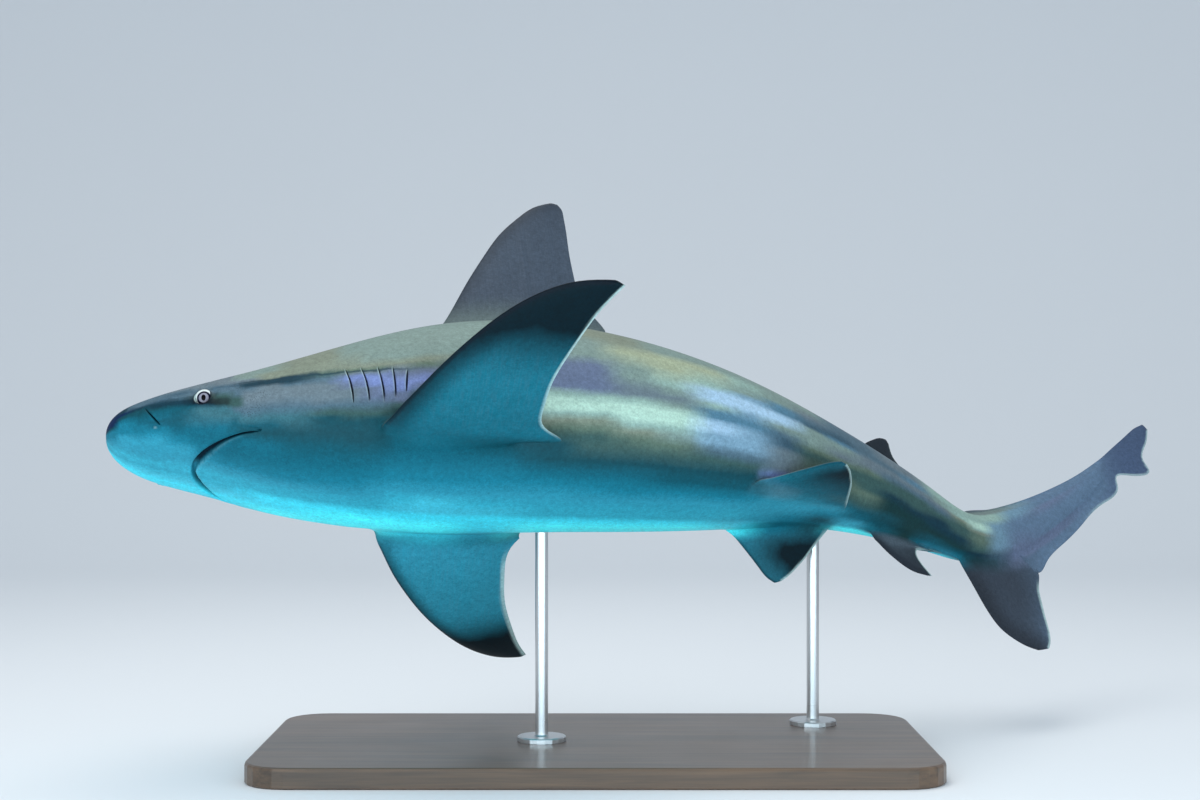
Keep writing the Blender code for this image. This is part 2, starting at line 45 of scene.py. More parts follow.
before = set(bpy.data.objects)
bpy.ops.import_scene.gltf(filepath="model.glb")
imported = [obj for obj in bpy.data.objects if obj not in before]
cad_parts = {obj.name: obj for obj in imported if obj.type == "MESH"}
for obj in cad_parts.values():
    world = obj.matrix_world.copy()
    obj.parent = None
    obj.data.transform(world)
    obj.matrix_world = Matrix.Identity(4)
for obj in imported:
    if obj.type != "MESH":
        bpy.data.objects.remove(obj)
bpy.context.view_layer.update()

# --- the animal's sizes, as parts of its length unless they say otherwise --------------------------
TOTAL_LENGTH = 1.80  # metres
FIN_EDGE = 0.0016  # metres, thickness of a fin at its margins
FIN_SLIMNESS = 0.14  # a fin's greatest half thickness, as a part of its width there
SNOUT_PLACE = np.array([-0.660, -0.120, 0.450])  # metres
HEADING, PITCH, BANK = 10.3, 0.0, 35.5  # degrees
SPINE_AT = (0.0, 0.15, 0.35, 0.50, 0.62, 0.735, 0.86, 1.0)
SPINE_TURN = (0.5, -1.4, 3.9, 17.5, 27.5, 30.6, 15.1, -1.2)  # degrees towards the right side
SPINE_RISE = (-1.6, -0.4, 0.8, -1.6, -3.5, -2.1, 2.3, 4.0)  # degrees towards the back
SPINE_STEPS = 200

# along, half width, top, belly, level of the widest point
BODY = (
    (0.000, 0.0449, 0.0194, -0.0155, 0.000),
    (0.030, 0.0462, 0.0193, -0.0214, 0.000),
    (0.076, 0.0564, 0.0302, -0.0312, 0.000),
    (0.120, 0.0646, 0.0453, -0.0451, -0.002),
    (0.180, 0.0744, 0.0662, -0.0580, -0.003),
    (0.240, 0.0791, 0.0841, -0.0675, -0.002),
    (0.310, 0.0755, 0.0925, -0.0705, 0.000),
    (0.400, 0.0685, 0.0810, -0.0705, 0.000),
    (0.490, 0.0550, 0.0605, -0.0610, 0.000),
    (0.560, 0.0405, 0.0465, -0.0465, 0.000),
    (0.630, 0.0285, 0.0365, -0.0355, 0.000),
    (0.690, 0.0205, 0.0270, -0.0290, 0.000),
    (0.735, 0.0160, 0.0205, -0.0250, 0.000),
    (0.790, 0.0105, 0.0400, -0.0080, 0.016),
    (0.860, 0.0065, 0.0710, 0.0340, 0.052),
    (0.930, 0.0035, 0.1090, 0.0860, 0.098),
)
SNOUT_TIP = 0.0030
SNOUT_ROUND_SIDE, SNOUT_ROUND_TOP, SNOUT_ROUND_BELLY, SNOUT_POWER = 0.0624, 0.0510, 0.0366, 2.2
BACK_FULLNESS, BELLY_FULLNESS, HEAD_FULLNESS = 2.15, 2.25, 2.5
HEAD_END, STALK_END, AXIS_END = 0.235, 0.735, 0.930

# Each row of a fin: front along, front out, rear along, rear out, from inside the body to the apex.
FINS = {
    "first dorsal": (
        (0.236, 0.070, 0.340, 0.070),
        (0.2435, 0.0900, 0.352, 0.0870),
        (0.258, 0.1040, 0.393, 0.1020),
        (0.268, 0.1195, 0.381, 0.1240),
        (0.284, 0.1500, 0.3730, 0.1560),
        (0.301, 0.1790, 0.3715, 0.1850),
        (0.317, 0.2030, 0.3715, 0.2080),
        (0.333, 0.2200, 0.3710, 0.2230),
        (0.348, 0.2325, 0.3700, 0.2315),
        (0.361, 0.2375, 0.3670, 0.2365),
    ),
    "second dorsal": (
        (0.609, 0.026, 0.643, 0.024),
        (0.6185, 0.0395, 0.653, 0.0340),
        (0.625, 0.0475, 0.688, 0.0355),
        (0.632, 0.0550, 0.671, 0.0430),
        (0.641, 0.0615, 0.6620, 0.0505),
        (0.650, 0.0665, 0.6595, 0.0585),
        (0.656, 0.0675, 0.6590, 0.0640),
    ),
    "anal": (
        (0.611, -0.024, 0.655, -0.020),
        (0.619, -0.0400, 0.671, -0.0305),
        (0.627, -0.0480, 0.703, -0.0305),
        (0.638, -0.0550, 0.675, -0.0360),
        (0.650, -0.0600, 0.6695, -0.0430),
        (0.664, -0.0625, 0.6735, -0.0510),
        (0.677, -0.0610, 0.6840, -0.0595),
    ),
    "upper tail lobe": (
        (0.738, 0.016, 0.741, -0.012),
        (0.745, 0.0260, 0.775, -0.0040),
        (0.762, 0.0330, 0.800, 0.0000),
        (0.780, 0.0390, 0.8225, -0.0155),
        (0.800, 0.0475, 0.836, -0.0030),
        (0.824, 0.0580, 0.859, 0.0170),
        (0.868, 0.0780, 0.890, 0.0415),
        (0.905, 0.0965, 0.921, 0.0650),
        (0.928, 0.1100, 0.9425, 0.0830),
        (0.936, 0.1150, 0.9445, 0.0935),
        (0.950, 0.1250, 0.964, 0.0950),
        (0.963, 0.1340, 0.981, 0.0985),
        (0.975, 0.1425, 0.979, 0.1120),
        (0.984, 0.1480, 0.988, 0.1290),
        (0.992, 0.1510, 0.9955, 0.1450),
    ),
    "lower tail lobe": (
        (0.720, -0.012, 0.806, 0.0100),
        (0.7255, -0.0300, 0.815, -0.0040),
        (0.735, -0.0470, 0.8225, -0.0175),
        (0.742, -0.0600, 0.8185, -0.0310),
        (0.750, -0.0735, 0.8170, -0.0460),
        (0.760, -0.0845, 0.8165, -0.0600),
        (0.772, -0.0905, 0.8165, -0.0720),
        (0.786, -0.0945, 0.8150, -0.0840),
        (0.799, -0.0958, 0.8110, -0.0920),
    ),
    "pectoral": (
        (-0.003, -0.034, 0.062, -0.034),
        (0.000, 0.0000, 0.083, -0.0060),
        (0.002, 0.0130, 0.1225, 0.0130),
        (0.005, 0.0300, 0.1080, 0.0260),
        (0.011, 0.0530, 0.0980, 0.0530),
        (0.021, 0.0810, 0.0955, 0.0810),
        (0.0345, 0.1080, 0.0980, 0.1060),
        (0.051, 0.1320, 0.1025, 0.1280),
        (0.070, 0.1500, 0.1075, 0.1450),
        (0.091, 0.1610, 0.1130, 0.1570),
        (0.109, 0.1645, 0.1160, 0.1625),
    ),
    "pelvic": (
        (0.000, -0.010, 0.058, -0.024),
        (0.002, 0.0010, 0.070, -0.0150),
        (0.0110, 0.0093, 0.1000, -0.0115),
        (0.0205, 0.0180, 0.0905, 0.0055),
        (0.0290, 0.0264, 0.0800, 0.0200),
        (0.0365, 0.0340, 0.0700, 0.0310),
        (0.0440, 0.0405, 0.0620, 0.0380),
        (0.0500, 0.0432, 0.0565, 0.0415),
    ),
}
# front of the root (along, side, up), then incidence, droop and sweep in degrees, and curl
PECTORAL_SET = {
    "left": ((0.2035, 0.0770, -0.0420), 6.1, 14.3, 8.0, 0.36),
    "right": ((0.2035, 0.0770, -0.0420), 3.1, 25.0, 11.9, 0.23),
}
PELVIC_SET = {
    "left": ((0.4800, 0.0368, -0.0537), -8.0, -2.0, 7.0, 0.02),
    "right": ((0.487, 0.030, -0.048), 11.0, 42.0, 16.3, -0.12),
}
HANDS = {"left": -1, "right": 1}

# How fine each fin's mesh is and how thick it is: rows, columns, half thickness at root and apex,
# then the rounding where it joins the body (metres).
FIN_MESH = {
    "first dorsal": (46, 24, 0.0085, 0.0014, 0.026),
    "second dorsal": (26, 16, 0.0040, 0.0008, 0.010),
    "anal": (28, 16, 0.0038, 0.0008, 0.010),
    "upper tail lobe": (96, 18, 0.0034, 0.0008, 0.008),
    "lower tail lobe": (44, 22, 0.0036, 0.0008, 0.010),
    "pectoral": (60, 28, 0.0090, 0.0013, 0.046),
    "pelvic": (40, 22, 0.0055, 0.0008, 0.012),
}
# How each fin is marked: where its dusky tip begins and is full (0 at the root, 1 at the apex) and how
# strong it is; how strong and how wide (metres) the shade behind its front edge is; the pale rear edge's
# strength, width (metres) and start; how far it is mauve, not the flank's colour; and the width (metres)
# over which the body's colours run out onto it. A tip that begins beyond its full place fades towards the
# apex instead, and a shade below 0 lightens the tip behind the front edge.
FIN_MARKS = {
    "first dorsal": (0.55, 1.00, 0.22, 0.45, 0.026, 0.00, 0.0020, 0.25, 1.0, 0.080),
    "second dorsal": (-0.10, 0.60, 0.95, 0.60, 0.010, 0.10, 0.0020, 0.40, 0.6, 0.008),
    "anal": (0.25, 0.85, 0.75, 0.95, 0.016, 0.55, 0.0020, 0.35, 0.8, 0.014),
    "upper tail lobe": (0.60, 1.00, 0.10, 0.00, 0.010, 0.45, 0.0022, 0.60, 1.0, 0.012),
    "lower tail lobe": (1.10, 0.40, 0.50, 0.85, 0.050, 0.60, 0.0030, 0.42, 1.0, 0.030),
    "pectoral": (0.53, 0.82, 1.00, 0.72, 0.036, 0.62, 0.0021, 0.34, 0.0, 0.038),
    "pectoral right": (0.58, 0.80, 1.00, 0.62, 0.026, 0.70, 0.0060, 0.42, 0.0, 0.030),
    "pelvic": (0.24, 0.90, 0.88, -0.66, 0.030, 0.52, 0.0021, 0.30, 0.0, 0.020),
    "pelvic right": (0.06, 0.74, 0.97, -0.42, 0.055, 0.50, 0.0022, 0.30, 0.0, 0.020),
}

# The body's colours at places along it: each tone stands before the degrees above the widest line
# where it is met, from the belly up, and the last one runs on to the back.
# The belly's and lower flank's blue greens, abyss to glow, are partly painted light: the water's blue light
# on a white belly, brightest at the bottom where it came from below; the darkest greens are partly painted
# shade. night under the pectorals and the tail stalk and black under the eye are painted shadow, and the
# rear flank's ice and frost are partly painted sheen.
BANDS = (
    (0.008, "aqua -90, surf -78, sea -58 -40, teal -33, abyss -26, navy -18"),
    (0.017, "aqua -90, surf -74 -53, sea -44 -25, teal -13, abyss -8 -5, navy 0, ink 8"),
    (0.028, "aqua -90, surf -80 -60, sea -44, teal -28, deep -18, abyss -4, ink 0, pewter 3, slate 6 11"),
    (0.042, "aqua -90, surf -82 -58, sea -44, teal -36, deep -29, teal -24, deep -12, abyss -8, "
            "ink -5 -1, pewter 3, slate 8 13"),
    (0.058, "aqua -90, surf -80 -66, sea -57, teal -46, deep -38 -24 -12, ink -6 -3, slate 3, pewter 10, "
            "slate 16, cheek 24"),
    (0.075, "aqua -90, surf -82, sea -68, teal -54 -40, fog -22 -16, ink -12, black -9 -4, soot 0, "
            "slate 6 12, cheek 20 34"),
    (0.092, "aqua -90, surf -84, sea -76, teal -66 -36, fog -24 -15, soot -10 -5, bottle -1, slate 3 8, "
            "pewter 11, cheek 16 24"),
    (0.099, "aqua -90, surf -84, sea -76, teal -64, deep -30, fog -22, slate -16, bottle -12 -5, "
            "slate -1 6, pewter 10, cheek 16, sage 26 36"),
    (0.107, "aqua -90, surf -84, sea -76, teal -63 -48, abyss -39, deep -32, fog -26, slate -18, "
            "cheek -6 -1, slate 3, ink 7 10, cheek 15, sage 19 29"),
    (0.123, "aqua -90, surf -84, sea -77, teal -63 -50, abyss -38, deep -30, fog -23, slate -14, "
            "cheek -6 0 4, ink 7 10.5, olive 14 20, sage 26"),
    (0.140, "aqua -90, surf -84, sea -77, teal -62, deep -48, abyss -36, fog -23, slate -13, cheek -4 1, "
            "slate 4, ink 7 11, olive 14 26"),
    (0.166, "aqua -90, surf -84, sea -75, teal -62, deep -48, abyss -36 -24, bottle -20, slate -15, "
            "cheek -9 0, slate 5, bottle 9, olive 13 26"),
    (0.182, "aqua -90, surf -84, sea -74, teal -62, deep -50, abyss -40 -28, bottle -21, slate -15, "
            "cheek -8 -4, violet -1, lavender 3, cheek 6, moss 8.5, olive 11, sage 28"),
    (0.200, "aqua -90, surf -80, sea -68, teal -58, deep -50, abyss -40 -26, bottle -21, slate -16, "
            "violet -9 -4, lavender -1 3, cheek 6, moss 8, olive 10, sage 17 27"),
    (0.217, "glow -90, aqua -83, surf -76, sea -66, teal -52, deep -40, night -20, bottle -17, "
            "violet -13 -9, lavender -5 -1, violet 3, cheek 6.5, olive 10, sage 15 30"),
    (0.235, "glow -90 -83, surf -76, sea -66, teal -52, deep -20, bottle -8, violet -4, lavender -1, "
            "violet 3, moss 7, olive 11, sage 15 30"),
    (0.280, "glow -90, aqua -84, surf -76, sea -66, teal -53, deep -46, abyss -38, night -30, deep -10, "
            "slate 0, violet 7, sage 12 32"),
    (0.325, "aqua -90, surf -76, sea -66, teal -59, abyss -50 -40, bottle -34, moss -29, olive -25, "
            "mint -20, cream -17 -12, mint -8, violet -3 3 8, sage 13 32, olive 44"),
    (0.355, "aqua -90, surf -78, sea -68, teal -60, abyss -50, bottle -40 -34, moss -29, olive -24, "
            "mint -20, cream -17 -13, mint -9, violet -4 3 9, sage 16 28, olive 36"),
    (0.385, "aqua -90, surf -78, sea -70, teal -60, abyss -50, bottle -41, moss -34, olive -29, "
            "mint -24, cream -19 -13, mint -9, cheek -5 -1, sage 5 10, pale_olive 22, olive 31 44"),
    (0.415, "aqua -90, surf -77, sea -69, deep -60, abyss -50, bottle -42, moss -35, sage -29, mint -24, "
            "cream -19 -13.5, sage -9, cheek -4, sage 0, mint 4, pale_olive 15 25, sage 32 44"),
    (0.445, "aqua -90, surf -76, sea -69, deep -60, abyss -50, bottle -41, slate -35, frost -29 -24, "
            "ice -20 -16, haze -12 -8, mint -4, ice 0 5, mint 10, pale_olive 24, sage 33"),
    (0.475, "aqua -90, surf -76, sea -69, deep -60, abyss -50, bottle -42, slate -36, frost -29 -17, "
            "haze -12 -9, frost -4, ice 0 4, frost 8, sage 12, mint 24, sage 34"),
    (0.505, "surf -90 -76 -68, cheek -52, lavender -46, cheek -39 -25, pewter -20 -15, slate -11, "
            "sage -5, ice 0 3, haze 7 13, sage 18 30"),
    (0.535, "sea -90, surf -76 -68, deep -50, moss -36, bottle -20, moss -15, sage -9 -1 2, pewter 6, "
            "slate 12, cheek 18, sage 30"),
    (0.565, "abyss -90, sea -80, surf -69, teal -60, bottle -52, moss -40 -34, bottle -27 -20, moss -15, "
            "cheek -9, sage 0, haze 5, pewter 8 12, slate 18 30"),
    (0.595, "aqua -90, surf -84, teal -77, deep -66, bottle -54, moss -40, bottle -33 -25 -18, moss -11, "
            "cheek -5 2, slate 8 14 20 32"),
    (0.625, "deep -90, abyss -70 -60, night -50 -40, ink -29, bottle -22 -14, slate -5, cheek 2, "
            "slate 9, cheek 16 32"),
    (0.655, "night -90 -46, ink -36, bottle -26 -14, slate -6, cheek 0, haze 8, cheek 19"),
    (0.685, "sea -90, deep -78, abyss -66, night -58, ink -42 -30, bottle -20, slate -10, cheek -3, "
            "sage 2 8, mint 16"),
    (0.715, "sea -90, deep -78, night -64, ink -42, bottle -30 -18, moss -8, olive -3, mint 1 8 20"),
    (0.745, "night -90, ink -66, bottle -52, moss -30 -18, olive -12, mint -7, cream -2 6, mint 14 60"),
    (0.770, "night -90, pewter -70, slate -55, tail_light -38 10, mint 28 60"),
    (0.800, "violet -90 -50, tail 0 12, tail_light 30 60"),
    (0.850, "violet -90 -58, tail -45 0, violet 25, tail 40"),
    (0.920, "tail -90 0 60"),
    (0.955, "tail -90, tail_dark -60 40, tail 60"),
    (0.990, "tail_dark -90, navy 40"),
)
# The belly's far side, painted whiter: painted light from below on the white belly.
FAR_LIT_BANDS = (
    (0.040, "surf -90, aqua -84, glow -76, foam -67"),
    (0.090, "aqua -90 -84, glow -76, foam -67"),
    (0.130, "aqua -90, foam -84 -75, white -62"),
    (0.185, "aqua -90, foam -84, white -76"),
    (0.240, "foam -90 -84, white -77 -66, foam -53"),
    (0.280, "foam -90 -85 -68, glow -60, aqua -45, surf -30"),
    (0.325, "aqua -90, foam -84, white -76"),
    (0.440, "aqua -90, foam -84, white -76"),
    (0.490, "surf -90, glow -84, foam -76, white -60"),
    (0.530, "sea -90, teal -80, sea -60"),
    (0.565, "abyss -90 -60"),
    (0.600, "glow -90, white -83"),
    (0.630, "sea -90, foam -84, white -77"),
    (0.665, "sea -90, glow -80"),
    (0.710, "surf -90, foam -80"),
    (0.750, "deep -90 -70"),
)

# --- features of the head ------------------------------------------------------------------------
EYE_AT, EYE_ANGLE = 0.0750, -1.2
EYE_TILT = 15.0  # degrees that the eye looks down from the skin round it
GILL_AT = (0.1810, 0.1924, 0.2038, 0.2131, 0.2222)
GILL_TOP = (9.8, 9.3, 8.3, 7.2, 4.8)  # degrees above the widest line
GILL_FOOT = (-12.6, -12.6, -13.4, -10.6, -7.0)
GILL_LEAN = (0.0048, 0.0048, 0.0036, 0.0008, -0.0018)
GILL_BOW = (0.0014, 0.0014, 0.0010, 0.0005, -0.0003)
MOUTH_FRONT, MOUTH_CORNER, MOUTH_HALF, MOUTH_POWER = 0.066, 0.115, 0.0532, 1.4
MOUTH_TAIL, MOUTH_TAIL_ANGLE = 0.0030, -36.2  # length and place of the furrow behind the mouth's corner
NOSTRIL = ((0.0334, -3.5), (0.0394, -21.5), (0.0442, -34.0))  # station and degrees above the widest line
FLAP_AT, FLAP_ANGLE = 0.0412, -37.4
RIDGE_FROM, RIDGE_TO = 0.385, 0.603
PIT_AT, PIT_SPREAD = 0.7325, 0.0026

# Heights and depths of the small forms, in metres. A roll is its height, where its top lies beyond an
# edge, and its width.
LOWER_LIP, UPPER_LIP = (0.0014, -0.0036, 0.0028), (0.0007, 0.0040, 0.0030)
LIP_DIP, LIP_DIP_WIDTH = 0.0010, 0.0016
CORNER_FURROW, CORNER_FOLD = (0.0014, 0.0030), (0.0009, 0.0014)  # half width and depth
NOSTRIL_DEPTH, NOSTRIL_RIM, NOSTRIL_REAR_RIM = 0.0048, 0.0010, 0.0005
FLAP_HEIGHT, FLAP_RADIUS = 0.0020, 0.0014
LID_DEPTH, LID_RIM, LID_HOLLOW = 0.0075, (0.0011, 0.0016, 0.0016), (-0.0012, 0.0062, 0.0030)
GILL_DEPTH, GILL_SAG = 0.0055, 0.0009
RIDGE_HEIGHT, RIDGE_SPREAD = 0.0024, 0.0034
PIT_DEPTH, LOWER_PIT_DEPTH, PIT_SIDE_SPREAD = 0.0032, 0.0012, 0.0100

# The dark line over the gills: its height, from 0 on the belly to 1 on the back, falls evenly rearwards.
GILL_LINE_SLOPE, GILL_LINE_START = -0.317, 0.6012
GILL_LINE_CORE, GILL_LINE_EDGE, GILL_LINE_STRENGTH = 0.0015, 0.0065, 0.68

SEGMENTS = 148
HEAD_SPACING, BODY_SPACING = 0.0019, 0.0046
# How near (metres) the mesh is split finer, three times over: round slits and furrows, round the gills,
# and between two radii round the eye.
DETAIL_REACH, DETAIL_GILLS = (0.0105, 0.0075, 0.0036), (0.008, 0.005, 0.0026)
DETAIL_EYE_FROM, DETAIL_EYE_TO = (0, 0.004, 0.0074), (0.022, 0.017, 0.0130)
# How many times the fins' roots are eased, and how many more where the rounding is over a width (metres).
SEAM_ROUNDS, WIDE_SEAM_ROUNDS, WIDE_SEAM = 46, 90, 0.03


def smooth(start, end, values):
    """0 before start, 1 after end, and an even S between them."""
    t = np.clip((np.asarray(values, float) - start) / (end - start), 0, 1)
    return t * t * (3 - 2 * t)


def hump(values, middle, width):
    """A smooth hump, 1 high at its middle."""
    return np.exp(-(((values - middle) / width) ** 2))


def roll(values, height, middle, width):
    """A hump of some height."""
    return height * hump(values, middle, width)


def spline(at, values, where):
    """Natural cubic spline through values, which may be rows of several numbers."""
    at = np.asarray(at, float)
    values = np.asarray(values, float).reshape(len(at), -1)
    where = np.atleast_1d(np.asarray(where, float))
    stride = np.diff(at)
    slope = np.diff(values, axis=0) / stride[:, None]
    system = np.eye(len(at))
    right = np.zeros_like(values)
    for i in range(1, len(at) - 1):
        system[i, i - 1 : i + 2] = stride[i - 1], 2 * (stride[i - 1] + stride[i]), stride[i]
        right[i] = 6 * (slope[i] - slope[i - 1])
    bend = np.linalg.solve(system, right)
    k = np.clip(np.searchsorted(at, where, side="right") - 1, 0, len(at) - 2)
    t = (where - at[k])[:, None]
    h = stride[k][:, None]
    linear = slope[k] - h * (2 * bend[k] + bend[k + 1]) / 6
    return values[k] + t * linear + t**2 * bend[k] / 2 + t**3 * (bend[k + 1] - bend[k]) / (6 * h)


# --- pose ----------------------------------------------------------------------------------------
def spine_table():
    """Places of the spine and its heading and rise, at even steps along it."""
    at = np.linspace(0, 1.02, SPINE_STEPS)
    turn, rise = np.radians(spline(SPINE_AT, np.stack([SPINE_TURN, SPINE_RISE], 1), at)).T
    way = np.stack([np.cos(turn) * np.cos(rise), np.sin(turn) * np.cos(rise), np.sin(rise)], 1)
    steps = (way[1:] + way[:-1]) / 2 * np.diff(at)[:, None]
    return at, np.concatenate([np.zeros((1, 3)), np.cumsum(steps, axis=0)]), turn, rise


SPINE = spine_table()


def body_axes():
    """The world directions of the straight animal's along, side and up."""
    heading, pitch, bank = (math.radians(a) for a in (HEADING, PITCH, BANK))
    level = math.cos(pitch)
    along = np.array([math.cos(heading) * level, math.sin(heading) * level, math.sin(pitch)])
    level_side = np.array([-math.sin(heading), math.cos(heading), 0])
    side = level_side * math.cos(bank) - np.cross(along, level_side) * math.sin(bank)
    return np.array([along, side, np.cross(along, side)])


def posed(points):
    """Points of the straight animal, in parts of its length, carried to the world in metres."""
    points = np.asarray(points, float).reshape(-1, 3)
    at, places, turns, rises = SPINE
    place = np.stack([np.interp(points[:, 0], at, places[:, k]) for k in range(3)], 1)
    turn, rise = np.interp(points[:, 0], at, turns), np.interp(points[:, 0], at, rises)
    way = np.stack([np.cos(turn) * np.cos(rise), np.sin(turn) * np.cos(rise), np.sin(rise)], 1)
    side = np.stack([-np.sin(turn), np.cos(turn), 0 * turn], 1)
    bent = place + side * points[:, 1:2] + np.cross(way, side) * points[:, 2:3]
    return bent @ body_axes() * TOTAL_LENGTH + SNOUT_PLACE


# --- the body's surface --------------------------------------------------------------------------
def rounded(at, length):
    """Rises from 0 at the tip of the snout to 1, as a slightly square quarter of an ellipse."""
    left = np.clip(1 - (at - SNOUT_TIP) / length, 0, 1)
    return (1 - left**SNOUT_POWER) ** (1 / SNOUT_POWER)


def section_sizes(at):
    """Half width, top, belly, level of the widest line and the underside's fullness at stations."""
    table = np.array(BODY)
    half, top, belly, level = spline(table[:, 0], table[:, 1:], at).T
    half = half * rounded(at, SNOUT_ROUND_SIDE)
    top, belly = top * rounded(at, SNOUT_ROUND_TOP), belly * rounded(at, SNOUT_ROUND_BELLY)
    headness = np.clip((HEAD_END - at) / (HEAD_END / 2), 0, 1)
    return half, top, belly, level, BELLY_FULLNESS + (HEAD_FULLNESS - BELLY_FULLNESS) * headness


def on_skin(at, angle):
    """Points of the body's skin at stations and angles: 0 on the right flank, 90 degrees at the back."""
    at, angle = np.broadcast_arrays(np.asarray(at, float), np.asarray(angle, float))
    half, top, belly, level, under = section_sizes(at.ravel())
    cos, sin = np.cos(angle.ravel()), np.sin(angle.ravel())
    power = np.where(sin > 0, 2 / BACK_FULLNESS, 2 / under)
    across = np.sign(cos) * np.abs(cos) ** power
    height = np.where(sin > 0, top - level, belly - level) * np.abs(sin) ** power
    return np.stack([at.ravel(), half * across, level + height], axis=-1).reshape(*at.shape, 3)


def skin_angle(points):
    """The section angle of points near the body's skin."""
    half, top, belly, level, under = section_sizes(points[:, 0])
    height = points[:, 2] - level
    power = np.where(height > 0, BACK_FULLNESS, under) / 2
    reach = np.where(height > 0, top - level, level - belly)
    rise = np.sign(height) * (np.abs(height) / np.maximum(reach, 1e-6)) ** power
    across = np.sign(points[:, 1]) * (np.abs(points[:, 1]) / np.maximum(half, 1e-6)) ** power
    return np.arctan2(rise, across)


def skin_out(at, angle):
    """Outward directions of the body's skin."""
    behind = on_skin(at + 2e-4, angle) - on_skin(at - 2e-4, angle)
    over = on_skin(at, angle + 2e-3) - on_skin(at, angle - 2e-3)
    out = np.cross(over, behind)
    return out / np.maximum(np.linalg.norm(out, axis=-1, keepdims=True), 1e-12)


def section_angle(degrees, hand):
    """Section angle of a place so many degrees above the widest line, on the left (-1) or right (1)."""
    angle = np.radians(np.asarray(degrees, float))
    return angle if hand > 0 else math.pi - angle


def body_stations():
    """Stations of the body's rings: crowded round the snout, fine on the head, wider further back."""
    turns = np.linspace(math.acos(1 - 0.0003 / SNOUT_ROUND_TOP), math.pi / 2, 26)
    nose = SNOUT_TIP + SNOUT_ROUND_TOP * (1 - np.cos(turns))
    head = np.arange(nose[-1] + HEAD_SPACING, HEAD_END, HEAD_SPACING)
    rings = round((STALK_END - HEAD_END) / BODY_SPACING)
    trunk = np.linspace(head[-1] + HEAD_SPACING * 1.5, STALK_END, rings)
    rings = round((AXIS_END - STALK_END) / BODY_SPACING)
    axis = np.linspace(STALK_END + BODY_SPACING, AXIS_END, rings)
    return np.concatenate([nose, head, trunk, axis])


# --- fins ----------------------------------------------------------------------------------------
def fin_rows(rows, count):
    """The rows of a fin, evened out to count rows by smooth curves through them."""
    rows = np.asarray(rows, float)
    moves = np.diff(rows, axis=0)
    strides = np.maximum(np.linalg.norm(moves[:, :2], axis=1), np.linalg.norm(moves[:, 2:], axis=1))
    chord = np.concatenate([[0], np.cumsum(strides)])
    return spline(chord, rows, np.linspace(0, chord[-1], count))


def fin_grid(rows, count, columns, root, tip):
    """Rings of (back, outwards, through) points round a fin, near side first, and its flat points."""
    even = fin_rows(rows, count)
    u = (1 - np.cos(np.linspace(0, math.pi, columns))) / 2
    foil = 2.6 * np.sqrt(u) * (1 - u)  # 1 at its thickest, a third of the way back
    half = root + (tip - root) * np.linspace(0, 1, count) ** 0.8
    half = np.minimum(half, FIN_SLIMNESS * np.linalg.norm(even[:, 2:] - even[:, :2], axis=1))
    through = np.maximum(half[:, None] * foil[None], FIN_EDGE / 2 / TOTAL_LENGTH)
    flat = even[:, None, :2] + u[None, :, None] * (even[:, None, 2:] - even[:, None, :2])
    near = np.concatenate([flat, -through[..., None]], axis=2)
    far = np.concatenate([flat, through[..., None]], axis=2)
    return np.concatenate([near, far[:, ::-1]], axis=1), even


def paired(points, where, hand, reach):
    """Places a paired fin's points in the straight animal. hand is -1 for the left, 1 for the right."""
    root, *angles, curl = where
    incidence, droop, sweep = (math.radians(a) for a in angles)
    back, out, through = points[..., 0], points[..., 1], points[..., 2]
    swept_back = back * math.cos(sweep) + out * math.sin(sweep)
    swept_out = -back * math.sin(sweep) + out * math.cos(sweep)
    through = through + curl * out * np.abs(out) / reach
    side = swept_out * math.cos(droop) + through * math.sin(droop)
    up = -swept_out * math.sin(droop) + through * math.cos(droop) - swept_back * math.sin(incidence)
    return np.stack([root[0] + swept_back, hand * (root[1] + side), root[2] + up], axis=-1)


def margin_distance(flat, margin):
    """Distance in the fin's plane from points to a margin, in metres."""
    start, end = margin[:-1], margin[1:]
    run = end - start
    t = np.sum((flat[:, None] - start) * run, axis=2) / np.maximum(np.sum(run**2, axis=1), 1e-12)
    foot = start + np.clip(t, 0, 1)[..., None] * run
    return np.linalg.norm(flat[:, None] - foot, axis=2).min(axis=1) * TOTAL_LENGTH


# --- meshes --------------------------------------------------------------------------------------
def closed_shape(rings, start=None, end=None):
    """Vertices and faces of a closed shell. An end with no pole is closed as a fin's ladder."""
    count, size = rings.shape[:2]
    verts = [tuple(p) for p in rings.reshape(-1, 3)]
    faces = []
    for i in range(count - 1):
        for j in range(size):
            k = (j + 1) % size
            faces.append((i * size + j, i * size + k, (i + 1) * size + k, (i + 1) * size + j))
    for first, pole in ((0, start), ((count - 1) * size, end)):
        if pole is not None:
            verts.append(tuple(pole))
            faces += [(first + j, first + (j + 1) % size, len(verts) - 1) for j in range(size)]
        else:
            faces += [
                (first + j, first + j + 1, first + size - 2 - j, first + size - 1 - j)
                for j in range(size // 2 - 1)
            ]
    return verts, faces


def shell(name, verts, faces):
    """An object whose faces all look outwards."""
    mesh = bpy.data.meshes.new(name)
    mesh.from_pydata(verts, [], faces)
    shape = bmesh.new()
    shape.from_mesh(mesh)
    bmesh.ops.recalc_face_normals(shape, faces=shape.faces)
    shape.to_mesh(mesh)
    shape.free()
    made = bpy.data.objects.new(name, mesh)
    bpy.context.scene.collection.objects.link(made)
    return made


def places(mesh):
    """A mesh's vertices as rows of numbers."""
    flat = np.empty(len(mesh.vertices) * 3)
    mesh.vertices.foreach_get("co", flat)
    return flat.reshape(-1, 3)


def write_mark(mesh, name, numbers):
    """Gives each vertex of a mesh a number that its material can read by name."""
    mesh.attributes.new(name, "FLOAT", "POINT").data.foreach_set("value", numbers.astype(np.float32))


def tree_of(points):
    """A tree that finds the nearest of the points."""
    tree = KDTree(len(points))
    for i, point in enumerate(points):
        tree.insert(point, i)
    tree.balance()
    return tree


